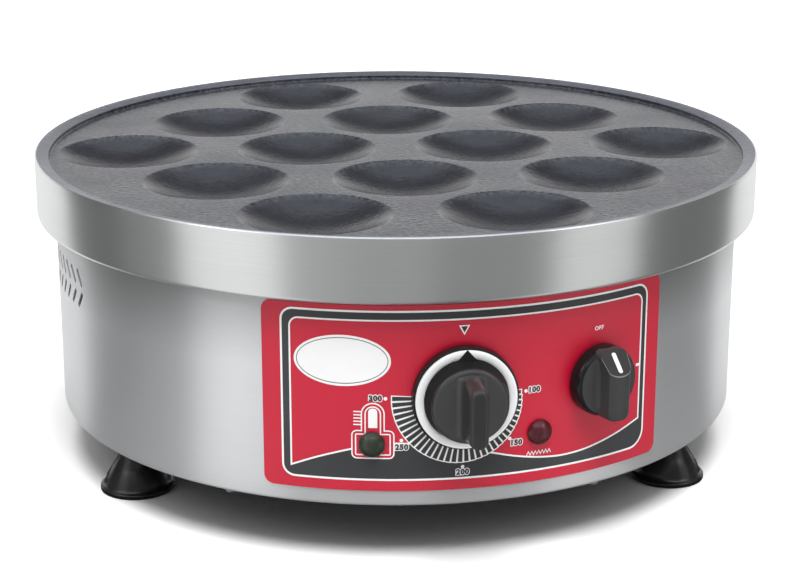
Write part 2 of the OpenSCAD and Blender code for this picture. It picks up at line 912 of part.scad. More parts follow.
// A saddle under the bulb with an ear on either side against the plate
module bulb_clip() {
    inner = bulb_d / 2 + touch_gap;
    outer = inner + clip_t;
    top = bulb_d / 2 + touch_gap;
    saddle = concat(
        [[outer + clip_ear, top], [outer + clip_ear, top - clip_t], [outer, top - clip_t]],
        arc([0, 0], outer, 0, -180, 12),
        [[-outer, top - clip_t], [-outer - clip_ear, top - clip_t]],
        [[-outer - clip_ear, top], [-inner, top]],
        arc([0, 0], inner, -180, 0, 12),
        [[inner, top]]
    );
    color(zinc)
        difference() {
            at_thermostat()
                translate([clip_x - clip_w / 2, bulb_y, -bulb_inset])
                    rotate([0, 90, 0])
                        linear_extrude(height = clip_w)
                            polygon(saddle);
            clip_screw_places()
                translate([0, 0, -2 * clip_t])
                    cylinder(d = clip_screw_d + 2 * hole_fit, h = 3 * clip_t);
        }
}

module bulb_clip_screws() {
    color(zinc)
        clip_screw_places()
            translate([0, 0, -clip_t])
                rotate([180, 0, 0])
                    pan_screw(clip_screw_d, clip_t + clip_screw_len - close_fit);
}

module switch_knob() {
    edge = switch_knob_d / 2;
    wing = knob_z + switch_body_h;
    top = knob_z + switch_knob_h;
    end = switch_rib_len / 2;
    low = knob_z + switch_slope_h;
    chamfer_h = 2;
    heel_r = 2.5;
    brim = wing - knob_break;
    turned = [
        [0, knob_z], [edge - knob_break, knob_z], [edge, knob_z + knob_break], [edge, brim - chamfer_h],
        [switch_top_d / 2, brim], [switch_top_d / 2 - knob_break, wing], [0, wing]
    ];
    side = concat(
        [[-end, wing - rib_sink], [end, wing - rib_sink], [end, low], [switch_slope_y, top]],
        arc([heel_r - end, top - heel_r], heel_r, 90, 180, 4)
    );
    color(black)
        at_switch()
            difference() {
                union() {
                    rotate_extrude() polygon(turned);
                    rib(side, switch_rib_w, switch_rib_len);
                }
                translate([0, 0, knob_z - cut])
                    cylinder(d = recess_d(switch_screw_gap), h = recess_h + cut);
                flatted_shaft(knob_z - cut, shaft_out + touch_gap, close_fit);
                on_slope()
                    translate([0, 0, -mark_t / 2])
                        linear_extrude(height = mark_t + cut)
                            square([mark_w + 2 * close_fit, mark_len + 2 * close_fit], center = true);
            }
}

// The middle of the sloping end of the switch's knob: local +Z out of the slope, local +Y down it
module on_slope() {
    end = switch_rib_len / 2;
    run = end - switch_slope_y;
    fall = switch_knob_h - switch_slope_h;
    translate([0, (end + switch_slope_y) / 2, knob_z + (switch_knob_h + switch_slope_h) / 2])
        rotate([-atan(fall / run), 0, 0])
            children();
}

module switch_knob_marker() {
    color("white")
        at_switch()
            on_slope()
                translate([0, 0, -mark_t / 2])
                    linear_extrude(height = mark_t)
                        square([mark_w, mark_len], center = true);
}

module switch_shaft() {
    color(zinc)
        at_switch()
            flatted_shaft(-shaft_in, shaft_out, 0);
}

module switch_body() {
    color(black)
        at_switch()
            control_body(switch_w, switch_w, switch_depth, switch_screw_gap);
}

module switch_screws() {
    color(zinc)
        at_switch()
            above_and_below(switch_screw_gap)
                pan_screw(screw_d, panel_screw_len);
}

module lamp_lens(lamp) {
    r = lens_d / 2;
    rim = 1;
    crown = (r * r + pow(lens_h - rim, 2)) / (2 * (lens_h - rim));
    half = asin(r / crown);
    at_wall(lamp[0], lamp[1])
        translate([0, 0, face_z + seat_gap])
            rotate_extrude()
                polygon(concat([[0, 0], [r, 0]], arc([0, lens_h - crown], crown, 90 - half, 90)));
}

module lamp_body(lamp) {
    tab_w = 4.8;
    tab_t = 0.8;
    tab_len = 8;
    at_wall(lamp[0], lamp[1]) {
        translate([0, 0, -lamp_depth])
            cylinder(d = lamp_d, h = lamp_depth + face_z + seat_gap);
        for (s = [-1, 1])
            translate([s * lamp_d / 4 - tab_t / 2, -tab_w / 2, -lamp_depth - tab_len])
                cube([tab_t, tab_w, tab_len + cut]);
    }
}

module green_lamp_lens() {
    color([0.08, 0.22, 0.12]) lamp_lens(green_lamp);
}

module green_lamp_body() {
    color(black) lamp_body(green_lamp);
}

module red_lamp_lens() {
    color([0.45, 0.06, 0.09]) lamp_lens(red_lamp);
}

module red_lamp_body() {
    color(black) lamp_body(red_lamp);
}

// A hexagonal nut against the inside of the curved wall
module wall_nut(corners, hole, h) {
    translate([0, 0, -sheet_t - sag(corners / 2, drum_in_r) - seat_gap - h])
        difference() {
            cylinder(d = corners, h = h, $fn = 6);
            translate([0, 0, -cut]) cylinder(d = hole + 2 * close_fit, h = h + 2 * cut);
        }
}

module lamp_nuts() {
    color(zinc)
        for (lamp = lamps)
            at_wall(lamp[0], lamp[1])
                wall_nut(lamp_nut_d, lamp_d, lamp_nut_h);
}

// A tube bent into a ring, open at the back, where both ends turn down in bends drawn a little thinner
module heating_element(r) {
    open = asin((tube_bend_r + leg_gap / 2) / r);
    leg = element_z - tube_bend_r - leg_end_z;
    lap = 3;
    color([0.42, 0.4, 0.38]) {
        translate([0, 0, element_z])
            rotate([0, 0, 90 + open])
                rotate_extrude(angle = 360 - 2 * open, $fn = drum_fn)
                    translate([r, 0])
                        circle(d = tube_d);
        for (s = [0, 1])
            mirror([s, 0, 0])
                rotate([0, 0, open])
                    translate([0, r, element_z - tube_bend_r])
                        rotate([-90, -90, 0])
                            rotate([0, 0, -lap])
                                rotate_extrude(angle = 90 + 2 * lap)
                                    translate([tube_bend_r, 0])
                                        circle(d = tube_d - 2 * close_fit);
        leg_places(r, leg_end_z)
            cylinder(d = tube_d, h = leg);
    }
}

module inner_heating_element() {
    heating_element(inner_ring_r);
}

module outer_heating_element() {
    heating_element(outer_ring_r);
}

module element_pins() {
    color(steel)
        for (r = [inner_ring_r, outer_ring_r])
            leg_places(r, leg_end_z - pin_len)
                cylinder(d = pin_d, h = pin_len);
}

// Bars that press both rings against the plate
module element_clamps() {
    inner = inner_ring_r - clamp_overhang;
    outer = outer_ring_r + clamp_overhang;
    color(zinc)
        difference() {
            for (az = clamp_azimuths)
                at_azimuth(az, 0, clamp_z0)
                    translate([-clamp_w / 2, -outer, 0])
                        cube([clamp_w, outer - inner, clamp_t]);
            clamp_places(clamp_z0 - cut)
                cylinder(d = stud_d + 2 * hole_fit, h = clamp_t + 2 * cut);
        }
}

module clamp_studs() {
    low = shield_z0 - stud_nut_h - stud_tail;
    color(zinc)
        clamp_places(low)
            cylinder(d = stud_d, h = plate_z0 + clamp_bite - close_fit - low);
}

module clamp_nuts() {
    color(zinc)
        clamp_places(clamp_z0 - stud_nut_h)
            hex_nut(stud_d, stud_nut_h);
}

module heater_holes(z, h) {
    clamp_places(z)
        cylinder(d = stud_d + 2 * hole_fit, h = h);
    for (r = [inner_ring_r, outer_ring_r])
        leg_places(r, z)
            cylinder(d = tube_d + 2 * leg_room, h = h);
}

module insulation_pad() {
    color([0.93, 0.92, 0.88])
        difference() {
            translate([0, 0, pad_z0]) cylinder(r = pad_r, h = pad_t);
            heater_holes(pad_z0 - cut, pad_t + 2 * cut);
        }
}

module heat_shield() {
    color(steel)
        difference() {
            translate([0, 0, shield_z0]) cylinder(r = shield_r, h = sheet_t + shield_rim_h);
            translate([0, 0, pad_z0]) cylinder(r = shield_r - sheet_t, h = shield_rim_h + cut);
            heater_holes(shield_z0 - cut, sheet_t + 2 * cut);
        }
}

module shield_nuts() {
    color(zinc)
        clamp_places(shield_z0 - stud_nut_h)
            hex_nut(stud_d, stud_nut_h);
}

module terminal_places(z) {
    for (i = [-1:1])
        translate([i * terminal_pitch, block_y, z])
            children();
}

module terminal_block() {
    wire_d = 4.5;
    color(ceramic)
        difference() {
            translate([-block_len / 2, block_y - block_w / 2, base_z1])
                cube([block_len, block_w, block_h]);
            terminal_places(base_z1 + block_h / 2)
                cylinder(d = screw_d + 2 * close_fit, h = block_h);
            terminal_places(base_z1 + block_h / 2)
                rotate([90, 0, 0])
                    cylinder(d = wire_d, h = 2 * block_w, center = true);
            block_screw_places(base_z1 - cut)
                cylinder(d = screw_d + 2 * hole_fit, h = block_h + 2 * cut);
        }
}

module terminal_screws() {
    color(brass)
        terminal_places(base_z1 + block_h)
            pan_screw(screw_d, block_h / 4);
}

module terminal_block_screws() {
    color(zinc)
        block_screw_places(base_z1 + block_h)
            pan_screw(screw_d, block_h + base_t + 2 * screw_tail);
}

module at_gland() {
    at_wall(180, gland_z) children();
}

// A gland with its hexagon outside the wall and its stem through it
module gland_body() {
    color(black)
        at_gland()
            difference() {
                union() {
                    cylinder(d = gland_hex / cos(30), h = gland_hex_h, $fn = 6);
                    translate([0, 0, -gland_stem_len]) cylinder(d = gland_stem_d, h = gland_stem_len + cut);
                    cylinder(d = gland_nose_d, h = gland_hex_h + gland_nose_h);
                }
                translate([0, 0, -gland_stem_len - cut])
                    cylinder(d = gland_bore_d, h = gland_stem_len + gland_hex_h + gland_nose_h + 2 * cut);
            }
}

module gland_cap() {
    outside = gland_hex / 2;
    socket_r = gland_nose_d / 2 + close_fit;
    socket_h = gland_nose_h + tip_gap;
    mouth_room = 0.8;
    mouth_r = gland_bore_d / 2 + mouth_room;
    lip = 4;
    outline = concat(
        [[socket_r, 0], [outside, 0]],
        arc([outside - lip, gland_cap_h - lip], lip, 0, 90),
        [[mouth_r, gland_cap_h], [mouth_r, socket_h], [socket_r, socket_h]]
    );
    color(black)
        at_gland()
            translate([0, 0, gland_hex_h])
                rotate_extrude()
                    polygon(outline);
}

module gland_locknut() {
    color(black)
        at_gland()
            wall_nut(gland_hex / cos(30), gland_stem_d, gland_nut_h);
}

module earth_stud() {
    color(brass)
        at_azimuth(earth_az, earth_r, base_z0)
            cylinder(d = stud_d, h = earth_len);
}

module earth_nut() {
    color(brass)
        at_azimuth(earth_az, earth_r, base_z1)
            hex_nut(stud_d, stud_nut_h);
}

cooking_plate();
plate_gasket();
plate_studs();
plate_washers();
plate_nuts();
body_shell();
base_plate();
base_screws();
base_nuts();
foot_left();
foot_right();
foot_rear();
foot_screws();
control_overlay();
thermostat_knob();
thermostat_knob_ring();
thermostat_shaft();
thermostat_body();
thermostat_screws();
thermostat_capillary();
thermostat_bulb();
bulb_clip();
bulb_clip_screws();
switch_knob();
switch_knob_marker();
switch_shaft();
switch_body();
switch_screws();
green_lamp_lens();
green_lamp_body();
red_lamp_lens();
red_lamp_body();
lamp_nuts();
inner_heating_element();
outer_heating_element();
element_pins();
element_clamps();
clamp_studs();
clamp_nuts();
insulation_pad();
heat_shield();
shield_nuts();
terminal_block();
terminal_screws();
terminal_block_screws();
gland_body();
gland_cap();
gland_locknut();
earth_stud();
earth_nut();
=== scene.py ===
"""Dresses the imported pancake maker: cast plate, brushed drum, printed panel, knobs, lamps, feet and studio.

Shapes are pairs of points and faces, drawn in millimetres; they become metres when a piece is made. An
azimuth is an angle about the drum's axis in degrees, counted from the front (-Y) towards +X.
"""

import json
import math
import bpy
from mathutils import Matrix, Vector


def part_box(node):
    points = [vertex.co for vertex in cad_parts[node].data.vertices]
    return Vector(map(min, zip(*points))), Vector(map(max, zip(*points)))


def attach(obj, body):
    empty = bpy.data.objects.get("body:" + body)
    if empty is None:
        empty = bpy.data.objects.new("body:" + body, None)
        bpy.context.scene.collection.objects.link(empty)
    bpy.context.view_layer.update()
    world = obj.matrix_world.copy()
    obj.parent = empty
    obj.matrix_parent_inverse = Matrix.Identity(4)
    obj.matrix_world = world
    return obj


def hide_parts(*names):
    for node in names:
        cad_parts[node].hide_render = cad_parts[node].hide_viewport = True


bl_info = {
    "name": "Pancake Maker",
    "version": (1, 0, 0),
    "blender": (4, 5, 0),
    "location": "View3D > Sidebar > Pancake Maker",
    "description": "Builds the visible pieces and finishes of a round pancake maker on its packed frame",
    "category": "Object",
}

import bmesh
import bpy
import numpy as np
from bpy.props import FloatProperty, FloatVectorProperty, IntProperty, PointerProperty
from mathutils import Vector
from mathutils.geometry import delaunay_2d_cdt

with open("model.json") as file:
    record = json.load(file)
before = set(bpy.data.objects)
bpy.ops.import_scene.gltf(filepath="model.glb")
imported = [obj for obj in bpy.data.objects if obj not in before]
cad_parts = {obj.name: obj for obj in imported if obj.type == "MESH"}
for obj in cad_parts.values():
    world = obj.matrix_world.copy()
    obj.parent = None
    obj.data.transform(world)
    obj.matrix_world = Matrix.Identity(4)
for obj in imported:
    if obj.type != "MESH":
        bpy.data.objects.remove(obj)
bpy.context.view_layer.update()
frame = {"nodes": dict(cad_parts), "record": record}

MM = 0.001
PLATE_LOW, PLATE_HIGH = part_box("cooking_plate")
SHELL_LOW, SHELL_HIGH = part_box("body_shell")
DIAL_AZIMUTH = -2.1
SWITCH_AZIMUTH = 19.65
GREEN_AZIMUTH = -15.55
LAMPS = (("green", GREEN_AZIMUTH, 33.0), ("red", 9.65, 34.4))
LAMP_HOLE = 5.1
CONTROL_Z = 57.5
GLAND_Z = 26.0
KNOB_UNDERSIDE = 1.45
FILM_BACK = 0.05
FILM_FRONT = 0.65


# Settings


def length(name, text, default):
    return FloatProperty(name=name, description=text, default=default, min=0.0, unit="LENGTH")


def angle(name, text, degrees):
    return FloatProperty(name=name, description=text, default=math.radians(degrees), subtype="ANGLE")


def paint(name, text, default):
    return FloatVectorProperty(
        name=name, description=text, default=default, min=0.0, max=1.0, subtype="COLOR"
    )


class PlateSettings(bpy.types.PropertyGroup):
    radius: length("Radius", "Outside radius of the plate and its skirt", round(PLATE_HIGH.x, 6))
    rim_width: length("Rim width", "Width of the rim around the cavities", 0.0077)
    rim_height: length("Rim height", "Height of the rim above the surface inside it", 0.0038)
    rim_fall: length("Rim fall", "Fall of the rim's top towards its inner edge", 0.0014)
    body_depth: length("Thickness", "Thickness of the plate under its surface", 0.018)
    skirt_round: length("Skirt edge", "Radius of the skirt's lower outer edge", 0.0025)
    cavity_width: length("Cavity width", "Diameter of a cavity at the surface", 0.079)
    cavity_depth: length("Cavity depth", "Depth of a cavity at its middle", 0.0095)
    cavity_lip: length("Cavity lip", "Radius of a cavity's rounded lip", 0.005)
    cavity_margin: length("Cavity margin", "Flat metal between the outer cavities and the rim", 0.0038)
    turn: angle("Turn", "Turn of the plate about the drum's axis", -8.0)
    coating: paint("Coating", "Colour of the coating on the flat", (0.0365, 0.038, 0.047))
    # Painted shade: the cavities get a darker copy of the same coating, darker because shade falls in them.
    coating_painted_shade: paint("Coating, deep", "Colour of the coating in the cavities", (0.0105, 0.011, 0.015))
    metal: paint("Turned metal", "Colour of the bare edge and skirt", (0.755, 0.765, 0.765))


class DrumSettings(bpy.types.PropertyGroup):
    radius: length("Radius", "Outside radius of the drum", 0.19)
    sheet: length("Sheet", "Thickness of the drum's sheet", 0.001)
    bend: length("Bend", "Outside radius of the sheet's bends", 0.002)
    top_flange: length("Top flange", "Width of the flange under the plate", 0.017)
    low_flange: length("Low flange", "Width of the flange under the base plate", 0.011)
    vent_count: IntProperty(name="Vents", description="Chevrons in each group", default=10, min=1, max=12)
    vent_length: length("Vent length", "Length of a slot", 0.011)
    vent_width: length("Vent width", "Width of a slot", 0.0026)
    vent_lean: angle("Vent lean", "Lean of a slot from upright", 38.0)
    steel: paint("Steel", "Colour of the brushed sheet", (0.725, 0.735, 0.745))


class PanelSettings(bpy.types.PropertyGroup):
    half_span: angle("Half span", "Half of the panel's span about the drum's axis", 32.0)
    low_edge: length("Low edge", "Height of the panel's lower edge above the drum's", 0.0085)
    height: length("Height", "Height of the panel", 0.0955)
    corner: length("Corner", "Radius of the panel's corners", 0.005)
    line: length("Line", "Width of the white lines", 0.001)
    red: paint("Red", "Colour of the film", (0.58, 0.003, 0.031))
    black: paint("Black", "Colour of the dark print", (0.042, 0.044, 0.047))
    white: paint("White", "Colour of the white print", (0.89, 0.89, 0.89))


class KnobSettings(bpy.types.PropertyGroup):
    dial_radius: length("Dial radius", "Radius of the thermostat knob's base", 0.02625)
    dial_height: length("Dial height", "Whole height of the thermostat knob", 0.037)
    ring_radius: length("Ring radius", "Outside radius of the bright ring", 0.025)
    ring_width: length("Ring width", "Width of the bright ring", 0.004)
    switch_radius: length("Switch radius", "Radius of the switch knob's base", 0.018)
    switch_height: length("Switch height", "Whole height of the switch knob", 0.019)
    plastic: paint("Plastic", "Colour of the knobs", (0.050, 0.051, 0.051))
    ring: paint("Ring", "Colour of the bright ring", (0.95, 0.955, 0.96))
    mark: paint("Mark", "Colour of the switch knob's line", (0.90, 0.90, 0.90))


class LampSettings(bpy.types.PropertyGroup):
    radius: length("Radius", "Radius of a lens", 0.0065)
    height: length("Height", "Height of a lens", 0.0046)
    green: paint("Green", "Colour of the unlit green lens", (0.026, 0.036, 0.022))
    red: paint("Red", "Colour of the unlit red lens", (0.080, 0.009, 0.014))


class FootSettings(bpy.types.PropertyGroup):
    flange: length("Flange", "Radius of a foot's flange", 0.020)
    neck: length("Neck", "Radius of a foot's neck", 0.010)
    rubber: paint("Rubber", "Colour of the feet and the gland", (0.012, 0.012, 0.013))


class StudioSettings(bpy.types.PropertyGroup):
    distance: length("Distance", "From the camera to the point it looks at", 1.14635)
    elevation: angle("Elevation", "Of the camera above the table", 17.267)
    azimuth: angle("Azimuth", "Of the camera about the drum's axis", -12.15)
    aim_height: length("Aim height", "Of the point that the camera looks at", 0.0862)
    aim_shift: length("Aim shift", "Of camera and aim to the camera's right", 0.00235)
    lens: FloatProperty(name="Lens", description="Focal length in millimetres on a 36 mm sensor", default=89.9)
    floor: paint("Floor", "Colour of the floor", (0.86, 0.86, 0.86))


SETTINGS = {
    "maker_plate": PlateSettings,
    "maker_drum": DrumSettings,
    "maker_panel": PanelSettings,
    "maker_knobs": KnobSettings,
    "maker_lamps": LampSettings,
    "maker_feet": FootSettings,
    "maker_studio": StudioSettings,
}


# Drawing


def in_mm(value):
    return value / MM


DRUM_R = 190.0
DRUM_Z = in_mm(SHELL_LOW.z)
CHUNK = 4000


def arc(centre, radius, start, end, steps):
    """Points of an arc between two angles in degrees."""
    turns = [math.radians(start + (end - start) * i / steps) for i in range(steps + 1)]
    return [(centre[0] + radius * math.cos(a), centre[1] + radius * math.sin(a)) for a in turns]


def circle(centre, radius, steps=48):
    return arc(centre, radius, 0, 360, steps)[:-1]


def square_box(left, low, right, high):
    return [(left, low), (right, low), (right, high), (left, high)]


def rounded_box(left, low, right, high, corners, steps=8):
    """Outline of a box, counter-clockwise from its lower right corner; corners are lr, ur, ul, ll radii."""
    lr, ur, ul, ll = corners
    return (
        arc((right - lr, low + lr), lr, -90, 0, steps)
        + arc((right - ur, high - ur), ur, 0, 90, steps)
        + arc((left + ul, high - ul), ul, 90, 180, steps)
        + arc((left + ll, low + ll), ll, 180, 270, steps)
    )


def spread(points, step):
    """The same closed line with no two neighbours further apart than step."""
    dense = []
    for a, b in zip(points, points[1:] + points[:1]):
        count = max(1, math.ceil(math.dist(a, b) / step))
        dense += [(a[0] + (b[0] - a[0]) * i / count, a[1] + (b[1] - a[1]) * i / count) for i in range(count)]
    return dense


def smooth_through(points, steps=8):
    """A smooth line through the points."""
    padded = [points[0], *points, points[-1]]
    line = []
    for near in zip(padded, padded[1:], padded[2:], padded[3:]):
        for t in (i / steps for i in range(steps)):
            line.append(
                tuple(
                    0.5 * (2 * b + (c - a) * t + (2 * a - 5 * b + 4 * c - d) * t**2 + (3 * b - a - 3 * c + d) * t**3)
                    for a, b, c, d in zip(*near)
                )
            )
    return line + [points[-1]]


def stroke(line, width, closed=False):
    """Outlines of a line drawn with a pen of that width."""
    pts = np.array(line, float)
    ahead = np.roll(pts, -1, 0) - pts
    if not closed:
        ahead[-1] = ahead[-2]
    ahead /= np.linalg.norm(ahead, axis=1)[:, None]
    behind = np.roll(ahead, 1, 0)
    if not closed:
        behind[0] = ahead[0]
    sides = [np.stack((-d[:, 1], d[:, 0]), 1) for d in (ahead, behind)]
    across = sides[0] + sides[1]
    across /= np.linalg.norm(across, axis=1)[:, None]
    across /= np.clip((across * sides[0]).sum(1), 0.5, 1)[:, None]
    left, right = ([tuple(p) for p in pts + across * side * width / 2] for side in (1, -1))
    return [left, right] if closed else [left + right[::-1]]


def inside(points, loops):
    """Whether each point lies inside an odd number of the loops."""
    points = np.asarray(points, float)
    odd = np.zeros(len(points), bool)
    for loop in loops:
        a = np.array(loop, float)
        b = np.roll(a, -1, 0)
        for start in range(0, len(points), CHUNK):
            part = slice(start, start + CHUNK)
            x, y = points[part, :1], points[part, 1:]
            crosses = (a[:, 1] > y) != (b[:, 1] > y)
            with np.errstate(divide="ignore", invalid="ignore"):
                at = (b[:, 0] - a[:, 0]) * (y - a[:, 1]) / (b[:, 1] - a[:, 1]) + a[:, 0]
            odd[part] ^= ((crosses & (x < at)).sum(1) % 2).astype(bool)
    return odd


def fill(loops, step=None, without=()):
    """Triangles of the plane inside the loops, outside the others, on a grid of points about step apart."""
    points, edges = [], []
    for loop in [*loops, *without]:
        first, count = len(points), len(loop)
        points += loop
        edges += [(first + i, first + (i + 1) % count) for i in range(count)]
    if step:
        rim = np.array(points)
        low, high = rim.min(0), rim.max(0)
        counts = np.maximum(1, np.ceil((high - low) / step)).astype(int)
        xs, ys = (np.linspace(low[k], high[k], counts[k] + 1)[1:-1] for k in (0, 1))
        grid = np.array([(x, y) for x in xs for y in ys]).reshape(-1, 2)
        if len(grid):
            grid = grid[inside(grid, loops)]
        if len(grid):
            near = np.array([((rim - g) ** 2).sum(1).min() for g in grid])
            points = points + [tuple(g) for g in grid[near > (0.45 * step) ** 2]]
    flat, _, faces, *_ = delaunay_2d_cdt([Vector(p) for p in points], edges, [], 1, 1e-5)
    flat = [tuple(p) for p in flat]
    middles = np.array([[sum(flat[i][k] for i in f) / len(f) for k in (0, 1)] for f in faces])
    keep = inside(middles, loops)
    if without:
        keep &= ~inside(middles, without)
    return flat, [tuple(f) for f, k in zip(faces, keep) if k]


def thicken(flat, faces, low, high, wall=lambda a, b: True):
    """A solid between the images of a flat shape under two maps, with walls along the edges that wall allows."""
    used = sorted({i for f in faces for i in f})
    place = {old: new for new, old in enumerate(used)}
    count = len(used)
    verts = [high(flat[i]) for i in used] + [low(flat[i]) for i in used]
    tops = [tuple(place[i] for i in f) for f in faces]
    solid = tops + [tuple(count + i for i in reversed(f)) for f in tops]
    runs = {(f[i], f[(i + 1) % len(f)]) for f in tops for i in range(len(f))}
    for a, b in sorted(runs):
        if (b, a) not in runs and wall(flat[used[a]], flat[used[b]]):
            solid.append((b, a, count + a, count + b))
    return verts, solid


def skin(rows):
    """Faces between neighbouring closed rows of point numbers."""
    faces = []
    for low, high in zip(rows, rows[1:]):
        for i in range(len(low)):
            j = (i + 1) % len(low)
            face = tuple(dict.fromkeys((low[i], low[j], high[j], high[i])))
            if len(face) > 2:
                faces.append(face)
    return faces


def around(count):
    """Equal steps of a full turn."""
    return [2 * math.pi * i / count for i in range(count)]


def lathe(profile, segments=96, ring=False):
    """Turns (radius, height) pairs about the local axis; a ring joins its last pair to its first."""
    verts, rows = [], []
    for r, h in profile:
        first = len(verts)
        if r < 1e-6:
            verts.append((0.0, 0.0, h))
            rows.append([first] * segments)
        else:
            verts += [(r * math.cos(a), r * math.sin(a), h) for a in around(segments)]
            rows.append(range(first, first + segments))
    return verts, skin(rows + rows[:1] if ring else rows)


def loft(rings, closed=True):
    """Skins a row of rings with equal counts; a closed one gets both its ends."""
    count = len(rings[0])
    rows = [range(k * count, (k + 1) * count) for k in range(len(rings))]
    ends = [tuple(reversed(rows[0])), tuple(rows[-1])] if closed else []
    return [p for ring in rings for p in ring], skin(rows) + ends


def joined(*shapes):
    """Several shapes as one."""
    verts, faces = [], []
    for some, more in shapes:
        first = len(verts)
        verts += list(some)
        faces += [tuple(first + i for i in f) for f in more]
    return verts, faces


def moved(shape, place):
    return [place(p) for p in shape[0]], shape[1]


def wall_place(azimuth, height):
    """Maps (right, up, out) at a place on the drum's wall to the part's frame."""
    a = math.radians(azimuth)

    def place(p):
        r = DRUM_R + p[2]
        return (
            p[0] * math.cos(a) + r * math.sin(a),
            p[0] * math.sin(a) - r * math.cos(a),
            DRUM_Z + height + p[1],
        )

    return place


def drum_place(lift):
    """Maps (distance along the wall, height) on the drum to the part's frame."""
    r = DRUM_R + lift

    def place(p):
        a = p[0] / DRUM_R
        return r * math.sin(a), -r * math.cos(a), DRUM_Z + p[1]

    return place


def along(azimuth):
    """Distance along the drum's wall from the front."""
    return math.radians(azimuth) * DRUM_R


def placed(name, data):
    """A new object in the scene."""
    made = bpy.data.objects.new(name, data)
    bpy.context.scene.collection.objects.link(made)
    return made


def add_piece(name, shape, finishes, body, stands_for=(), patches=None, crease=38.0, marks=None):
    """Makes a piece of the object from a drawing; marks are values at its points for its finish."""
    weld = 2e-6
    mesh = bpy.data.meshes.new(name)
    mesh.from_pydata([(x * MM, y * MM, z * MM) for x, y, z in shape[0]], [], shape[1])
    for finish in finishes:
        mesh.materials.append(finish)
    if patches is not None:
        mesh.polygons.foreach_set("material_index", patches)
    for mark, values in (marks or {}).items():
        mesh.attributes.new(mark, "FLOAT", "POINT").data.foreach_set("value", values)
    shell = bmesh.new()
    shell.from_mesh(mesh)
    bmesh.ops.remove_doubles(shell, verts=shell.verts, dist=weld)
    bmesh.ops.dissolve_degenerate(shell, edges=shell.edges, dist=weld)
    bmesh.ops.recalc_face_normals(shell, faces=shell.faces)
    shell.to_mesh(mesh)
    shell.free()
    mesh.shade_smooth()
    mesh.set_sharp_from_angle(angle=math.radians(crease))
    piece = placed(name, mesh)
    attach(piece, body)
    if stands_for:
        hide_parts(*stands_for)


# Finishes


def feed(tree, socket, value):
    """Links a socket to another one, or sets it to a number or a colour."""
    if isinstance(value, bpy.types.NodeSocket):
        tree.links.new(value, socket)
    elif isinstance(value, (int, float)):
        socket.default_value = value
    else:
        socket.default_value = (*value[:3], 1.0)


def math_node(tree, operation, *values):
    node = tree.nodes.new("ShaderNodeMath")
    node.operation = operation
    for socket, value in zip(node.inputs, values):
        feed(tree, socket, value)
    return node.outputs[0]


def noise_node(tree, vector, scale, detail, roughness=0.55):
    node = tree.nodes.new("ShaderNodeTexNoise")
    for label, value in (("Vector", vector), ("Scale", scale), ("Detail", detail), ("Roughness", roughness)):
        feed(tree, node.inputs[label], value)
    return node.outputs["Fac"]


def node_group(name, inputs, outputs, fill_in):
    """A shader node group with float sockets, built once; fill_in gives its outputs from its inputs."""
    group = bpy.data.node_groups.get(name)
    if group:
        return group
    group = bpy.data.node_groups.new(name, "ShaderNodeTree")
    for label, default in inputs:
        socket = group.interface.new_socket(label, in_out="INPUT", socket_type="NodeSocketFloat")
        socket.default_value = default
    for label in outputs:
        group.interface.new_socket(label, in_out="OUTPUT", socket_type="NodeSocketFloat")
    entry, end = group.nodes.new("NodeGroupInput"), group.nodes.new("NodeGroupOutput")
    place = group.nodes.new("ShaderNodeTexCoord").outputs["Object"]
    for label, value in zip(outputs, fill_in(group, place, entry.outputs)):
        group.links.new(value, end.inputs[label])
    return group


def grain_group():
    """Fine grain and broad patches in the object's own space."""

    def fill_in(group, place, given):
        return noise_node(group, place, given["Fine Scale"], 2.0), noise_node(group, place, given["Patch Scale"], 4.0)

    return node_group("Grain", [("Fine Scale", 2000.0), ("Patch Scale", 40.0)], ["Fine", "Patch"], fill_in)


def lines_group():
    """Fine lines around the drum's axis, as brushing or turning leaves them, and slow drifts along them."""

    def fill_in(group, place, given):
        split = group.nodes.new("ShaderNodeSeparateXYZ")
        group.links.new(place, split.inputs[0])
        x, y, z = split.outputs
        squares = [math_node(group, "MULTIPLY", part, part) for part in (x, y)]
        from_axis = math_node(group, "SQRT", math_node(group, "ADD", *squares))
        across = math_node(group, "MULTIPLY", math_node(group, "ADD", z, from_axis), given["Density"])
        join = group.nodes.new("ShaderNodeCombineXYZ")
        for socket, part in zip(join.inputs, (x, y)):
            group.links.new(math_node(group, "MULTIPLY", part, given["Run"]), socket)
        group.links.new(across, join.inputs[2])
        return noise_node(group, join.outputs[0], 1.0, 3.0, 0.65), noise_node(group, place, 14.0, 2.0)

    return node_group("Lines", [("Density", 900.0), ("Run", 6.0)], ["Line", "Drift"], fill_in)


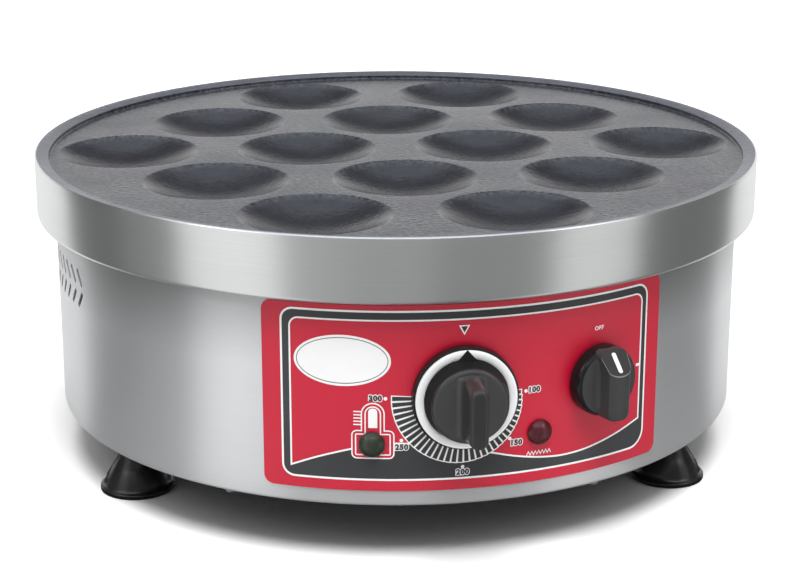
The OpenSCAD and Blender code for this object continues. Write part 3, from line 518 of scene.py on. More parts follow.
class Finish:
    """A material under construction, with its Principled shader."""

    def __init__(self, name, **constants):
        self.material = bpy.data.materials.new(name)
        self.material.use_nodes = True
        self.tree = self.material.node_tree
        self.shader = self.tree.nodes["Principled BSDF"]
        for label, value in constants.items():
            self.shader.inputs[label.replace("_", " ")].default_value = value

    def group(self, group, **values):
        node = self.tree.nodes.new("ShaderNodeGroup")
        node.node_tree = group
        for label, value in values.items():
            node.inputs[label.replace("_", " ")].default_value = value
        return node.outputs

    def attribute(self, name):
        node = self.tree.nodes.new("ShaderNodeAttribute")
        node.attribute_name = name
        return node.outputs["Fac"]

    def ranged(self, value, low=0.0, high=1.0, start=0.3, end=0.7):
        """Value carried from start..end to low..high."""
        node = self.tree.nodes.new("ShaderNodeMapRange")
        bounds = {"Value": value, "From Min": start, "From Max": end, "To Min": low, "To Max": high}
        for label, given in bounds.items():
            feed(self.tree, node.inputs[label], given)
        return node.outputs["Result"]

    def blend(self, factor, first, second):
        """Two colours mixed by a factor; each is a colour or a socket."""
        node = self.tree.nodes.new("ShaderNodeMix")
        node.data_type = "RGBA"
        for index, given in ((0, factor), (6, first), (7, second)):
            feed(self.tree, node.inputs[index], given)
        return node.outputs[2]

    def tones(self, factor, colour, low, high):
        """Two shades of a colour mixed by a factor."""
        return self.blend(factor, shade(colour, low), shade(colour, high))

    def math(self, operation, *values):
        return math_node(self.tree, operation, *values)

    def set(self, label, value):
        self.tree.links.new(value, self.shader.inputs[label])

    def relief(self, height, strength, distance):
        node = self.tree.nodes.new("ShaderNodeBump")
        for label, given in (("Strength", strength), ("Distance", distance), ("Height", height)):
            feed(self.tree, node.inputs[label], given)
        self.set("Normal", node.outputs[0])


def shade(colour, share):
    return tuple(c * share for c in colour[:3])


def lined_metal(name, colour, rough, density, run, contrast, stretch, metallic=1.0, painted_shade_share=None):
    """Metal with fine lines around the drum's axis, which spread its reflections up and down.

    Where its points are marked with painted shade, it darkens to the given share of its colour: a painted shade, used
    under the plate's skirt.
    """
    if name in bpy.data.materials:
        return bpy.data.materials[name]
    finish = Finish(name, Metallic=metallic, Anisotropic=stretch, Anisotropic_Rotation=0.25)
    line = finish.group(lines_group(), Density=density, Run=run)
    tone = finish.tones(line["Line"], colour, 1 - contrast, 1 + contrast / 2)
    tone = finish.blend(finish.ranged(line["Drift"], 0.0, 0.3), tone, shade(colour, 0.94))
    # Painted shade: marked points darken towards a share of the colour.
    if painted_shade_share:
        tone = finish.blend(finish.attribute("heated"), tone, shade(colour, painted_shade_share))
    finish.set("Base Color", tone)
    finish.set("Roughness", finish.ranged(line["Line"], rough + 0.03, rough - 0.03))
    finish.relief(line["Line"], 0.06, 0.00006)
    tangent = finish.tree.nodes.new("ShaderNodeTangent")
    tangent.direction_type = "RADIAL"
    tangent.axis = "Z"
    finish.set("Tangent", tangent.outputs[0])
    return finish.material


def grained(name, colour, deep, rough, fine=2600.0, patch=60.0, bump=0.15, distance=0.00012, **constants):
    """Moulded, printed or plated surface: two near tones, uneven gloss and a fine grain."""
    if name in bpy.data.materials:
        return bpy.data.materials[name]
    finish = Finish(name, **constants)
    grain = finish.group(grain_group(), Fine_Scale=fine, Patch_Scale=patch)
    finish.set("Base Color", finish.blend(finish.ranged(grain["Patch"]), deep, colour))
    finish.set("Roughness", finish.ranged(grain["Patch"], rough + 0.05, rough - 0.05))
    finish.relief(grain["Fine"], bump, distance)
    return finish.material


def coating_finish(settings):
    """Cast, coated surface: grained on the flat; in the cavities painted darker than the flat, a painted shade of the
    same coating, and mottled; on the rim's top painted lighter, a painted sheen.
    """
    finish = Finish("plate_coating", Specular_IOR_Level=0.5)
    grain = finish.group(grain_group(), Fine_Scale=400.0, Patch_Scale=150.0)
    broad = finish.group(grain_group(), Fine_Scale=420.0, Patch_Scale=18.0)
    depth = finish.attribute("depth")
    sunk = finish.ranged(depth, start=0.0, end=0.25)
    flat = finish.tones(finish.ranged(grain["Fine"]), settings.coating, 0.20, 1.85)
    # Painted shade: the cavities are painted darker than the flat, with a random mottle.
    painted_shade_mottle = finish.tones(finish.ranged(broad["Fine"]), settings.coating_painted_shade, 0.6, 1.5)
    bowl = finish.blend(finish.ranged(grain["Patch"], 0.0, 0.8), painted_shade_mottle, shade(settings.coating_painted_shade, 2.0))
    # Painted sheen: the rim's top, the same coating as the flat, is painted lighter.
    rubbed = finish.tones(finish.ranged(grain["Patch"]), settings.coating, 1.9, 2.6)
    finish.set("Base Color", finish.blend(finish.attribute("rim"), finish.blend(sunk, flat, bowl), rubbed))
    uneven = finish.ranged(broad["Patch"], -0.05, 0.05)
    finish.set("Roughness", finish.math("ADD", uneven, finish.ranged(sunk, 0.28, 0.26, 0.0, 1.0)))
    mottle = finish.math("MULTIPLY", broad["Fine"], finish.ranged(depth, 0.12, 1.5, 0.04, 0.4))
    pitted = finish.ranged(depth, 1.5, 0.4, 0.0, 0.03)
    finish.relief(finish.math("MULTIPLY_ADD", grain["Fine"], pitted, mottle), 0.50, 0.0003)
    return finish.material


def knob_plastic(name, settings, shine):
    """Black moulding: glossy sides and duller front faces. The sides are also painted much darker than the front
    faces, a painted shade, and marked edges get a painted highlight.
    """
    finish = Finish(name, Specular_IOR_Level=shine)
    grain = finish.group(grain_group(), Fine_Scale=3200.0, Patch_Scale=60.0)
    front = finish.attribute("front")
    cloud = finish.ranged(grain["Patch"])
    # Painted shade: the sides are a darker copy of the plastic than the front faces; front marks which is which.
    sides = finish.tones(cloud, settings.plastic, 0.15, 0.25)
    faces = finish.tones(cloud, settings.plastic, 0.85, 1.0)
    # Painted highlight on the marked edges.
    rubbed = shade(settings.plastic, 3.6)
    finish.set("Base Color", finish.blend(finish.attribute("rubbed"), finish.blend(front, sides, faces), rubbed))
    finish.set("Roughness", finish.ranged(front, 0.18, 0.40, 0.0, 1.0))
    finish.relief(grain["Fine"], 0.10, 0.00012)
    return finish.material


def foot_rubber(settings):
    deep = shade(settings.rubber, 0.7)
    return grained("foot_rubber", settings.rubber, deep, 0.26, bump=0.05, Specular_IOR_Level=0.5)


# Cooking plate


def cavity_centres(settings):
    """Middles of the cavities, in staggered rows that fill the plate out to one reach."""
    reach = in_mm(settings.radius - settings.rim_width - settings.cavity_margin - settings.cavity_width / 2)
    step = reach * 2 / 3
    row_step = math.sqrt(reach**2 - (step / 2) ** 2) / 2
    c, s = math.cos(settings.turn), math.sin(settings.turn)
    for row, count in enumerate((2, 3, 4, 3, 2)):
        for i in range(count):
            x, y = (i - (count - 1) / 2) * step, (row - 2) * row_step
            yield x * c - y * s, x * s + y * c


def cavity_profile(settings):
    """Half of a cavity from its edge to its middle: a lip that rolls over, then a bowl."""
    lip_steps, bowl_steps = 9, 16
    edge, depth, lip = (in_mm(v) for v in (settings.cavity_width / 2, settings.cavity_depth, settings.cavity_lip))
    bowl = (edge**2 + depth**2) / (2 * depth) - lip
    slope = math.asin(edge / (bowl + lip))
    rolled = [slope * i / lip_steps for i in range(lip_steps + 1)]
    dished = [slope * (1 - i / bowl_steps) for i in range(1, bowl_steps + 1)]
    return [(edge - lip * math.sin(a), lip * (math.cos(a) - 1)) for a in rolled] + [
        (bowl * math.sin(a), bowl * (1 - math.cos(a)) - depth) for a in dished
    ]


def plate_shape(settings):
    """Plate with its cavities, rim and skirt, a tag for each face (0 coated, 1 bare), and its surface's height."""
    segments, dish_segments, grid_step = 288, 96, 14.0
    r, land = in_mm(settings.radius), in_mm(settings.radius - settings.rim_width)
    top, low = in_mm(PLATE_HIGH.z), in_mm(PLATE_LOW.z)
    floor = top - in_mm(settings.rim_height)
    under = floor - in_mm(settings.body_depth)
    inner_top = top - in_mm(settings.rim_fall)
    edge, fillet, inner_r, outer_r = in_mm(settings.skirt_round), 1.0, 0.5, 1.0
    coated = (
        arc((land - fillet, floor + fillet), fillet, -90, 0, 5)
        + arc((land + inner_r, inner_top - inner_r), inner_r, 180, 96, 4)
        + [(land + (r - land) * 0.5, (inner_top + top) / 2), (r - outer_r, top)]
    )
    bare = (
        coated[-1:]
        + arc((r - outer_r, top - outer_r), outer_r, 80, 0, 5)
        + [(r, low + edge + (top - outer_r - low - edge) * k / 4) for k in (3, 2, 1)]
        + arc((r - edge, low + edge), edge, 0, -90, 12)
        + [(land, low), (land, under), (0.0, under)]
    )
    profile = cavity_profile(settings)
    centres = list(cavity_centres(settings))
    loops = [circle((0, 0), coated[0][0], segments)]
    loops += [circle(centre, profile[0][0], dish_segments) for centre in centres]
    flat, faces = fill(loops, grid_step)
    shapes = [lathe(coated, segments), lathe(bare, segments)]
    for cx, cy in centres:
        shapes.append(moved(lathe(profile, dish_segments), lambda p: (p[0] + cx, p[1] + cy, p[2] + floor)))
    shapes.append(([(x, y, floor) for x, y in flat], faces))
    tags = [int(k == 1) for k, shape in enumerate(shapes) for _ in shape[1]]
    return joined(*shapes), tags, floor


class MAKER_OT_cooking_plate(bpy.types.Operator):
    """Cast plate with its cavities, coated rim and turned skirt"""

    bl_idname = "maker.cooking_plate"
    bl_label = "Cooking plate"

    def execute(self, context):
        settings = context.scene.maker_plate
        shape, tags, floor = plate_shape(settings)
        metal = lined_metal(
            "turned_metal", settings.metal, rough=0.31, density=2200.0, run=14.0, contrast=0.10, stretch=0.7
        )
        land = in_mm(settings.radius - settings.rim_width)
        deepest = in_mm(settings.cavity_depth)
        rim_start = in_mm(PLATE_HIGH.z - settings.rim_fall) - 0.2
        marks = {
            "depth": [max(0.0, floor - z) / deepest if math.hypot(x, y) < land else 0.0 for x, y, z in shape[0]],
            # rim marks the rim's top for its painted sheen.
            "rim": [float(z > rim_start) for _, _, z in shape[0]],
        }
        finishes = [coating_finish(settings), metal]
        add_piece("plate_casting", shape, finishes, "body", ["cooking_plate"], tags, 30.0, marks)
        return {"FINISHED"}


# Drum


VENT_START = 73.0
VENT_PITCH = 2.85
VENT_Z = 81.5
VENT_RISE = 6.1
SEAM_AZIMUTH = -135.0
# Painted shade on the drum's top: depth of the band under the skirt, and how it eases off.
PAINTED_SHADE_BAND = 35.0
PAINTED_SHADE_EASE = 0.85


def vent_outlines(settings):
    """Slots of the chevrons on both sides, on the unrolled wall."""
    width, run, lean = in_mm(settings.vent_width), in_mm(settings.vent_length), settings.vent_lean
    straight = run / 2 - width / 2
    slot = arc((0, straight), width / 2, 0, 180, 6) + arc((0, -straight), width / 2, 180, 360, 6)
    for side in (-1, 1):
        for i in range(settings.vent_count):
            for up in (-1, 1):
                s, z = along(side * (VENT_START + VENT_PITCH * i)), VENT_Z + up * VENT_RISE
                c, d = math.cos(lean), math.sin(lean) * -side * up
                yield [(s + x * c - y * d, z + x * d + y * c) for x, y in slot]


def wall_holes():
    """Round holes behind the controls, the lamps and the gland."""
    shaft_hole, screw_hole, gland_hole = 5.0, 2.3, 10.1
    for azimuth, screw_gap in ((DIAL_AZIMUTH, 28.0), (SWITCH_AZIMUTH, 24.0)):
        yield circle((along(azimuth), CONTROL_Z), shaft_hole, 24)
        for up in (-1, 1):
            yield circle((along(azimuth), CONTROL_Z + up * screw_gap / 2), screw_hole, 16)
    for _, azimuth, height in LAMPS:
        yield circle((along(azimuth), height), LAMP_HOLE, 24)
    yield circle((along(180), GLAND_Z), gland_hole, 32)


def shell_shape(settings):
    """Rolled sheet with its bends and flanges, and every slot and hole cut through."""
    columns, rows, bend_steps = 240, 10, 7
    r, sheet, bend = (in_mm(v) for v in (settings.radius, settings.sheet, settings.bend))
    top = in_mm(SHELL_HIGH.z - SHELL_LOW.z)
    low_edge, high_edge = bend, top - bend
    turn = 2 * math.pi * DRUM_R
    start = along(SEAM_AZIMUTH)
    lows, highs = ([(start + turn * i / columns, z) for i in range(columns + 1)] for z in (low_edge, high_edge))
    sides = [(start + turn, low_edge + (high_edge - low_edge) * k / rows) for k in range(1, rows)]
    outline = lows + sides + highs[::-1] + [(start, z) for _, z in sides[::-1]]
    flat, faces = fill([outline, *vent_outlines(settings), *wall_holes()], turn / columns * 1.6)
    rims = ((1, low_edge), (1, high_edge), (0, start), (0, start + turn))

    def cut_edge(a, b):
        return not any(abs(a[k] - v) < 1e-3 and abs(b[k] - v) < 1e-3 for k, v in rims)

    shapes = [thicken(flat, faces, drum_place(-sheet), drum_place(0), cut_edge)]
    quarter = np.linspace(0, math.pi / 2, bend_steps)
    for flange, base, sign in ((settings.low_flange, 0.0, 1), (settings.top_flange, top, -1)):
        mid = base + sign * bend
        outer, inner = (
            [(r - bend + radius * math.cos(a), mid - sign * radius * math.sin(a)) for a in quarter]
            for radius in (bend, bend - sheet)
        )
        inside_r = r - in_mm(flange)
        rim = outer + [(inside_r, base), (inside_r, base + sign * sheet)] + inner[::-1]
        turns = [s / DRUM_R for s, _ in lows[:-1]]
        rings = [[(rr * math.sin(a), -rr * math.cos(a), DRUM_Z + z) for a in turns] for rr, z in rim]
        shapes.append(loft(rings, closed=False))
    return joined(*shapes)


class MAKER_OT_drum(bpy.types.Operator):
    """Brushed sheet drum with chevron vents"""

    bl_idname = "maker.drum"
    bl_label = "Drum"

    def execute(self, context):
        settings = context.scene.maker_drum
        steel = lined_metal(
            "brushed_steel", settings.steel, rough=0.42, density=2600.0, run=9.0, contrast=0.07, stretch=0.95,
            metallic=0.77, painted_shade_share=0.62,
        )
        shape = shell_shape(settings)
        # Painted shade: the drum is painted darker towards the skirt over the band's depth, where the skirt's shade
        # falls.
        skirt = in_mm(PLATE_LOW.z)
        shares = [1 - (skirt - z) / PAINTED_SHADE_BAND for _, _, z in shape[0]]
        heated = [min(1.0, max(0.0, share)) ** PAINTED_SHADE_EASE for share in shares]
        add_piece(
            "drum_shell", shape, [steel], "body", ["body_shell"], crease=30.0, marks={"heated": heated}
        )
        return {"FINISHED"}


# Control panel


SCALE_Z = 56.7
SCALE_BARS = 34
SCALE_INNER = 24.0
SCALE_NUMBERS = (
    # number, its dot and its middle from the scale's axis
    ("100", (31.5, 0.0), (35.8, 0.2)),
    ("150", (23.4, -23.8), (26.8, -26.4)),
    ("200", (-0.3, -36.4), (-0.3, -39.2)),
    ("250", (-30.3, -21.6), (-30.2, -25.2)),
    ("300", (-38.0, 0.0), (-42.9, 0.0)),
)
PRINT_SINK = 0.04
OVAL_AZIMUTH = -19.89
OVAL_Z = 75.7
THERMOMETER_S = along(GREEN_AZIMUTH) + 0.45
WAVE = [
    (-91.7, 20.0), (-78.0, 25.4), (-62.0, 30.2), (-50.0, 32.6), (-40.4, 33.6), (-24.0, 32.6), (-8.0, 29.9),
    (6.6, 26.6), (20.0, 23.2), (33.1, 20.9), (45.0, 20.0), (57.0, 20.7), (68.3, 22.7), (80.0, 25.6), (93.0, 29.7),
]


def word(text, size, fatten, s, z):
    """A word as flat faces about a place on the unrolled wall, all counter-clockwise."""
    curve = bpy.data.curves.new("lettering", "FONT")
    curve.body, curve.size, curve.offset, curve.resolution_u = text, size, fatten, 4
    curve.align_x, curve.align_y, curve.space_character = "CENTER", "CENTER", 1.12
    holder = placed("lettering", curve)
    mesh = holder.evaluated_get(bpy.context.evaluated_depsgraph_get()).to_mesh()
    flat = [(v.co.x + s, v.co.y + z) for v in mesh.vertices]
    faces = []
    for face in [tuple(p.vertices) for p in mesh.polygons]:
        turns = zip(face, face[1:] + face[:1])
        area = sum(flat[a][0] * flat[b][1] - flat[b][0] * flat[a][1] for a, b in turns)
        faces.append(face if area > 0 else face[::-1])
    bpy.data.objects.remove(holder)
    bpy.data.curves.remove(curve)
    return flat, faces


def frame_lines():
    """Outer and inner lines of the print's black frame; the inner one closes along the wave."""
    step, corner, inner_top = 3.0, 4.5, 96.3
    outer = rounded_box(-96.0, 14.4, 96.5, 100.8, (9.0, 6.5, 6.0, 6.0))
    right, left = WAVE[-1][0], WAVE[0][0]
    top = arc((right - corner, inner_top - corner), corner, 0, 90, 8)
    top += arc((left + corner, inner_top - corner), corner, 90, 180, 8)
    return spread(outer, step), spread(smooth_through(WAVE) + top, step)


def thermometer_outline(inset):
    """Outline of the thermometer sign around the green lamp, moved inwards."""
    s, half, low, high = THERMOMETER_S, 10.2 - inset, 25.7 + inset, 40.0 - inset
    tube, top = 5.5 - inset, 54.2 - inset
    corner = max(0.6, 2.4 - inset)
    return (
        arc((s + half - corner, low + corner), corner, -90, 0, 5)
        + arc((s + half - corner, high - corner), corner, 0, 90, 5)
        + [(s + tube, high)]
        + arc((s, top - tube), tube, 0, 180, 14)
        + [(s - tube, high)]
        + arc((s - half + corner, high - corner), corner, 90, 180, 5)
        + arc((s - half + corner, low + corner), corner, 180, 270, 5)
    )


def scale_bar(axis, turn, half, outer):
    """One bar of the thermostat's scale."""
    low, high = math.radians(turn - half), math.radians(turn + half)
    corners = ((SCALE_INNER, low), (outer, low), (outer, high), (SCALE_INNER, high))
    return fill([spread([(axis[0] + r * math.cos(a), axis[1] + r * math.sin(a)) for r, a in corners], 2.5)])


def panel_print(settings):
    """Shapes of the print as (black ground, white, black on white), each a list of flat shapes."""
    line, sign_line = in_mm(settings.line), 0.62
    outer, inner = frame_lines()
    sign, sign_inside = (spread(thermometer_outline(inset), 2.0) for inset in (0.0, 1.8))
    axis = (along(DIAL_AZIMUTH), SCALE_Z)
    oval, keyline = (
        [(along(OVAL_AZIMUTH) + wide * x, OVAL_Z + high * y) for x, y in circle((0, 0), 1.0, 72)]
        for wide, high in ((23.7, 13.0), (22.3, 11.6))
    )
    ground = [fill([outer, inner], 3.0, [sign])]
    white = [
        fill(stroke(outer, line, True)),
        fill(stroke(inner, 0.85 * line, True), None, [sign]),
        fill(stroke(sign, sign_line, True)),
        fill(stroke(sign_inside, sign_line, True)),
        fill([oval], 3.0),
    ]
    dark = [fill(stroke(keyline, 0.35, True))]
    pitch = 180.0 / (SCALE_BARS - 1)
    for k in range(SCALE_BARS):
        share = k / (SCALE_BARS - 1)
        turn, reach = -180.0 * share, 29.4 + 13.6 * share - 7.6 * share * share
        white.append(scale_bar(axis, turn, 0.505 * pitch, reach))
        dark.append(scale_bar(axis, turn, 0.345 * pitch, reach - 0.55))
    for text, dot, middle in SCALE_NUMBERS:
        white.append(fill([circle((axis[0] + dot[0], axis[1] + dot[1]), 0.9, 20)]))
        for layer, fat in ((white, 0.58), (dark, 0.22)):
            layer.append(word(text, 3.9, fat, axis[0] + middle[0], axis[1] + middle[1]))
    for layer, half, high, low in ((white, 2.7, 93.2, 88.2), (dark, 1.65, 92.6, 89.5)):
        layer.append(fill([[(axis[0] - half, high), (axis[0], low), (axis[0] + half, high)]]))
    tube, teeth = THERMOMETER_S, [(25.5 + 13.1 * k / 14, 23.6 + (0.95 if k % 2 else -0.95)) for k in range(15)]
    white += [
        word("OFF", 2.9, 0.06, along(SWITCH_AZIMUTH), 83.2),
        fill([square_box(90.2, 57.9, 93.0, 59.3)]),
        fill([rounded_box(tube - 2.2, 41.5, tube + 2.2, 51.6, (0.3, 2.1, 2.1, 0.3), 6)]),
        fill(stroke(teeth, 0.42)),
    ]
    for z in (43.1 + 1.68 * k for k in range(5)):
        white.append(fill([square_box(tube - 9.4, z - 0.3, tube - 5.7, z + 0.3)]))
    return ground, white, dark


def printed(shapes, lift):
    """A layer of the print as one solid skin on the film."""
    back, front = drum_place(FILM_FRONT - PRINT_SINK), drum_place(lift)
    return joined(*(thicken(flat, faces, back, front) for flat, faces in shapes))


def film_shape(settings):
    """The film's curved sheet with the holes for shafts and lamps."""
    reach, low = settings.half_span * DRUM_R, in_mm(settings.low_edge)
    outline = rounded_box(-reach, low, reach, low + in_mm(settings.height), (in_mm(settings.corner),) * 4)
    dial_hole, switch_hole = 18.5, 16.5
    holes = [circle((along(DIAL_AZIMUTH), CONTROL_Z), dial_hole)]
    holes += [circle((along(SWITCH_AZIMUTH), CONTROL_Z), switch_hole)]
    holes += [circle((along(azimuth), height), LAMP_HOLE, 24) for _, azimuth, height in LAMPS]
    flat, faces = fill([spread(outline, 3.0), *holes], 4.0)
    return thicken(flat, faces, drum_place(FILM_BACK), drum_place(FILM_FRONT))


class MAKER_OT_panel(bpy.types.Operator):
    """Curved red film with its printed scale, signs and frame"""

    bl_idname = "maker.panel"
    bl_label = "Control panel"

    def execute(self, context):
        settings = context.scene.maker_panel
        film = grained(
            "red_film", settings.red, shade(settings.red, 0.93), 0.42, fine=5200.0, patch=18.0, bump=0.06,
            Specular_IOR_Level=0.55,
        )
        dark_ink = grained("dark_ink", settings.black, shade(settings.black, 0.85), 0.38, patch=30.0, bump=0.05)
        white_ink = grained("white_ink", settings.white, shade(settings.white, 0.96), 0.40, patch=30.0, bump=0.05)
        add_piece("panel_film", film_shape(settings), [film], "body", ["control_overlay"])
        ground, white, dark = panel_print(settings)
        for name, shapes, ink, lift in (
            ("panel_frame_print", ground, dark_ink, 0.70),
            ("panel_white_print", white, white_ink, 0.74),
            ("panel_dark_print", dark, dark_ink, 0.78),
        ):
            add_piece(name, printed(shapes, lift), [ink], "body")
        return {"FINISHED"}


# Thermostat knob


DIAL_SEAT = KNOB_UNDERSIDE + 5.0
DIAL_WING = KNOB_UNDERSIDE + 16.6
DIAL_SHOULDER = 2.6
RING_THICK = 1.6


def stadium(half, top, bottom, count):
    """Outline of a bar with round ends, a quarter of its points to each quarter; counter-clockwise from +X."""

    def quarter(reach):
        straight = reach - half
        total = straight + half * math.pi / 2
        points = []
        for d in (4 * total * i / count for i in range(count // 4)):
            a = max(0.0, d - straight) / half
            points.append((half * math.cos(a), straight + half * math.sin(a) if a else d))
        return points

    upper, lower = quarter(top), quarter(bottom)
    return (
        upper
        + [(0.0, top)]
        + [(-x, y) for x, y in upper[:0:-1]]
        + [(-x, -y) for x, y in lower]
        + [(0.0, -bottom)]
        + [(x, -y) for x, y in lower[:0:-1]]
    )


def dial_shape(settings):
    """Thermostat knob: base, seat of the ring, bell with a rounded shoulder, and a tall bar that grips."""
    count, bell = 144, 16.6
    low, edge = KNOB_UNDERSIDE, in_mm(settings.dial_radius)
    top, seat, wing = low + in_mm(settings.dial_height), DIAL_SEAT, DIAL_WING
    ring_in = in_mm(settings.ring_radius - settings.ring_width) - 0.2
    turned = [
        (edge - 0.4, low), (edge, low + 0.4), (edge, seat - 0.9), (edge - 0.25, seat - 0.3), (edge - 0.8, seat),
        (ring_in, seat), (ring_in - 0.05, seat + 1.8),
    ] + arc((bell, wing - DIAL_SHOULDER), DIAL_SHOULDER, 10, 90, 8)
    rings = [[(r * math.cos(a), r * math.sin(a), h) for a in around(count)] for r, h in turned]
    fillet, rounding, limit = 3.2, 2.6, 16.5

    def bar(h, grow):
        rest = 1 - min(1.0, (h - wing) / (top - wing))
        half = 4.65 + 0.25 * rest + grow
        outline = stadium(half, 15.8 + 2.1 * rest**2 + grow, 14.4 + 3.4 * rest**1.4 + grow, count)
        scales = [min(1.0, limit / math.hypot(x, y)) for x, y in outline]
        return [(x * scale, y * scale, h) for (x, y), scale in zip(outline, scales)]

    for t in (math.radians(15 * i) for i in range(7)):
        rings.append(bar(wing + fillet * (1 - math.cos(t)), fillet * (1 - math.sin(t))))
    rings += [bar(wing + fillet + (top - rounding - wing - fillet) * k / 8, 0.0) for k in range(1, 9)]
    for t in (math.radians(12.4 * i) for i in range(1, 8)):
        rings.append(bar(top - rounding + rounding * math.sin(t), rounding * (math.cos(t) - 1)))
    return loft(rings)


def pointer_shape(settings):
    """Spike of the thermostat knob that runs out over its ring."""
    base, steps = DIAL_SEAT + 1.75, 12
    inner, tip = 16.5, in_mm(settings.ring_radius) + 0.5
    rings = []
    for rest in (1 - k / steps for k in range(steps + 1)):
        y = tip + (inner - tip) * rest
        half, high = 0.25 + 8.0 * rest**1.05, 0.8 + 1.8 * rest
        rings.append(
            [
                (-half, y, base), (half, y, base), (half, y, base + 0.4 * high), (0.45 * half, y, base + high),
                (-0.45 * half, y, base + high), (-half, y, base + 0.4 * high),
            ]
        )
    return loft(rings)


def ring_shape(settings):
    """Bright ring with a crowned face."""
    outside, width = in_mm(settings.ring_radius), in_mm(settings.ring_width)
    swings = [math.cos(math.pi * k / 8) for k in range(9)]
    face = [(outside - width * (0.5 - 0.5 * c), DIAL_SEAT + RING_THICK - 0.45 * abs(c) ** 3) for c in swings]
    return lathe([(outside - width, DIAL_SEAT), (outside, DIAL_SEAT), *face], 144, ring=True)


class MAKER_OT_dial(bpy.types.Operator):
    """Thermostat knob with its pointer and bright ring"""

    bl_idname = "maker.dial"
    bl_label = "Thermostat knob"

    def execute(self, context):
        settings = context.scene.maker_knobs
        place = wall_place(DIAL_AZIMUTH, CONTROL_Z)
        knob = joined(dial_shape(settings), pointer_shape(settings))
        wall_low, wall_high, bar_low = DIAL_SEAT + 1.7, DIAL_WING - 2.1, DIAL_WING + 3.3
        # Painted shade: the bell's sides, its shoulder and the bar are marked to be painted darker than the front
        # face, the shoulder in a ramp.
        front = []
        for _, _, h in knob[0]:
            risen = min(1.0, max(0.0, (h - DIAL_WING) / DIAL_SHOULDER + 1))
            front.append(0.45 if h > bar_low else risen**2)
        # Painted shade: the wall between the ring and the shoulder gets a dark, hardly reflecting copy of the
        # plastic.
        painted_shade_mask = [int(all(wall_low < knob[0][i][2] < wall_high for i in face)) for face in knob[1]]
        black = knob_plastic("dial_plastic", settings, shine=0.45)
        painted_shade_black = grained(
            "dial_wall", shade(settings.plastic, 0.3), shade(settings.plastic, 0.2), 0.6, Specular_IOR_Level=0.04
        )
        add_piece(
            "dial_grip", moved(knob, place), [black, painted_shade_black], "thermostat_dial", ["thermostat_knob"],
            painted_shade_mask, 32.0, {"front": front},
        )
        bright = grained(
            "silvered_ring", settings.ring, shade(settings.ring, 0.97), 0.34, patch=40.0, bump=0.0, Metallic=0.2
        )
        ring = moved(ring_shape(settings), place)
        add_piece("dial_ring", ring, [bright], "thermostat_dial", ["thermostat_knob_ring"])
        return {"FINISHED"}


# Switch knob


SWITCH_WING = KNOB_UNDERSIDE + 8.2
SWITCH_BAR = 6.3
SWITCH_CORNER = 3.6
SLOPE_START = 6.3
SLOPE_END_HEIGHT = 9.4


def slope_fall(settings):
    """Fall per millimetre of the switch knob's sloping end, and how far out it ends."""
    end = in_mm(settings.switch_radius) - 0.5
    return (in_mm(settings.switch_height) - SLOPE_END_HEIGHT) / (end - SLOPE_START), end


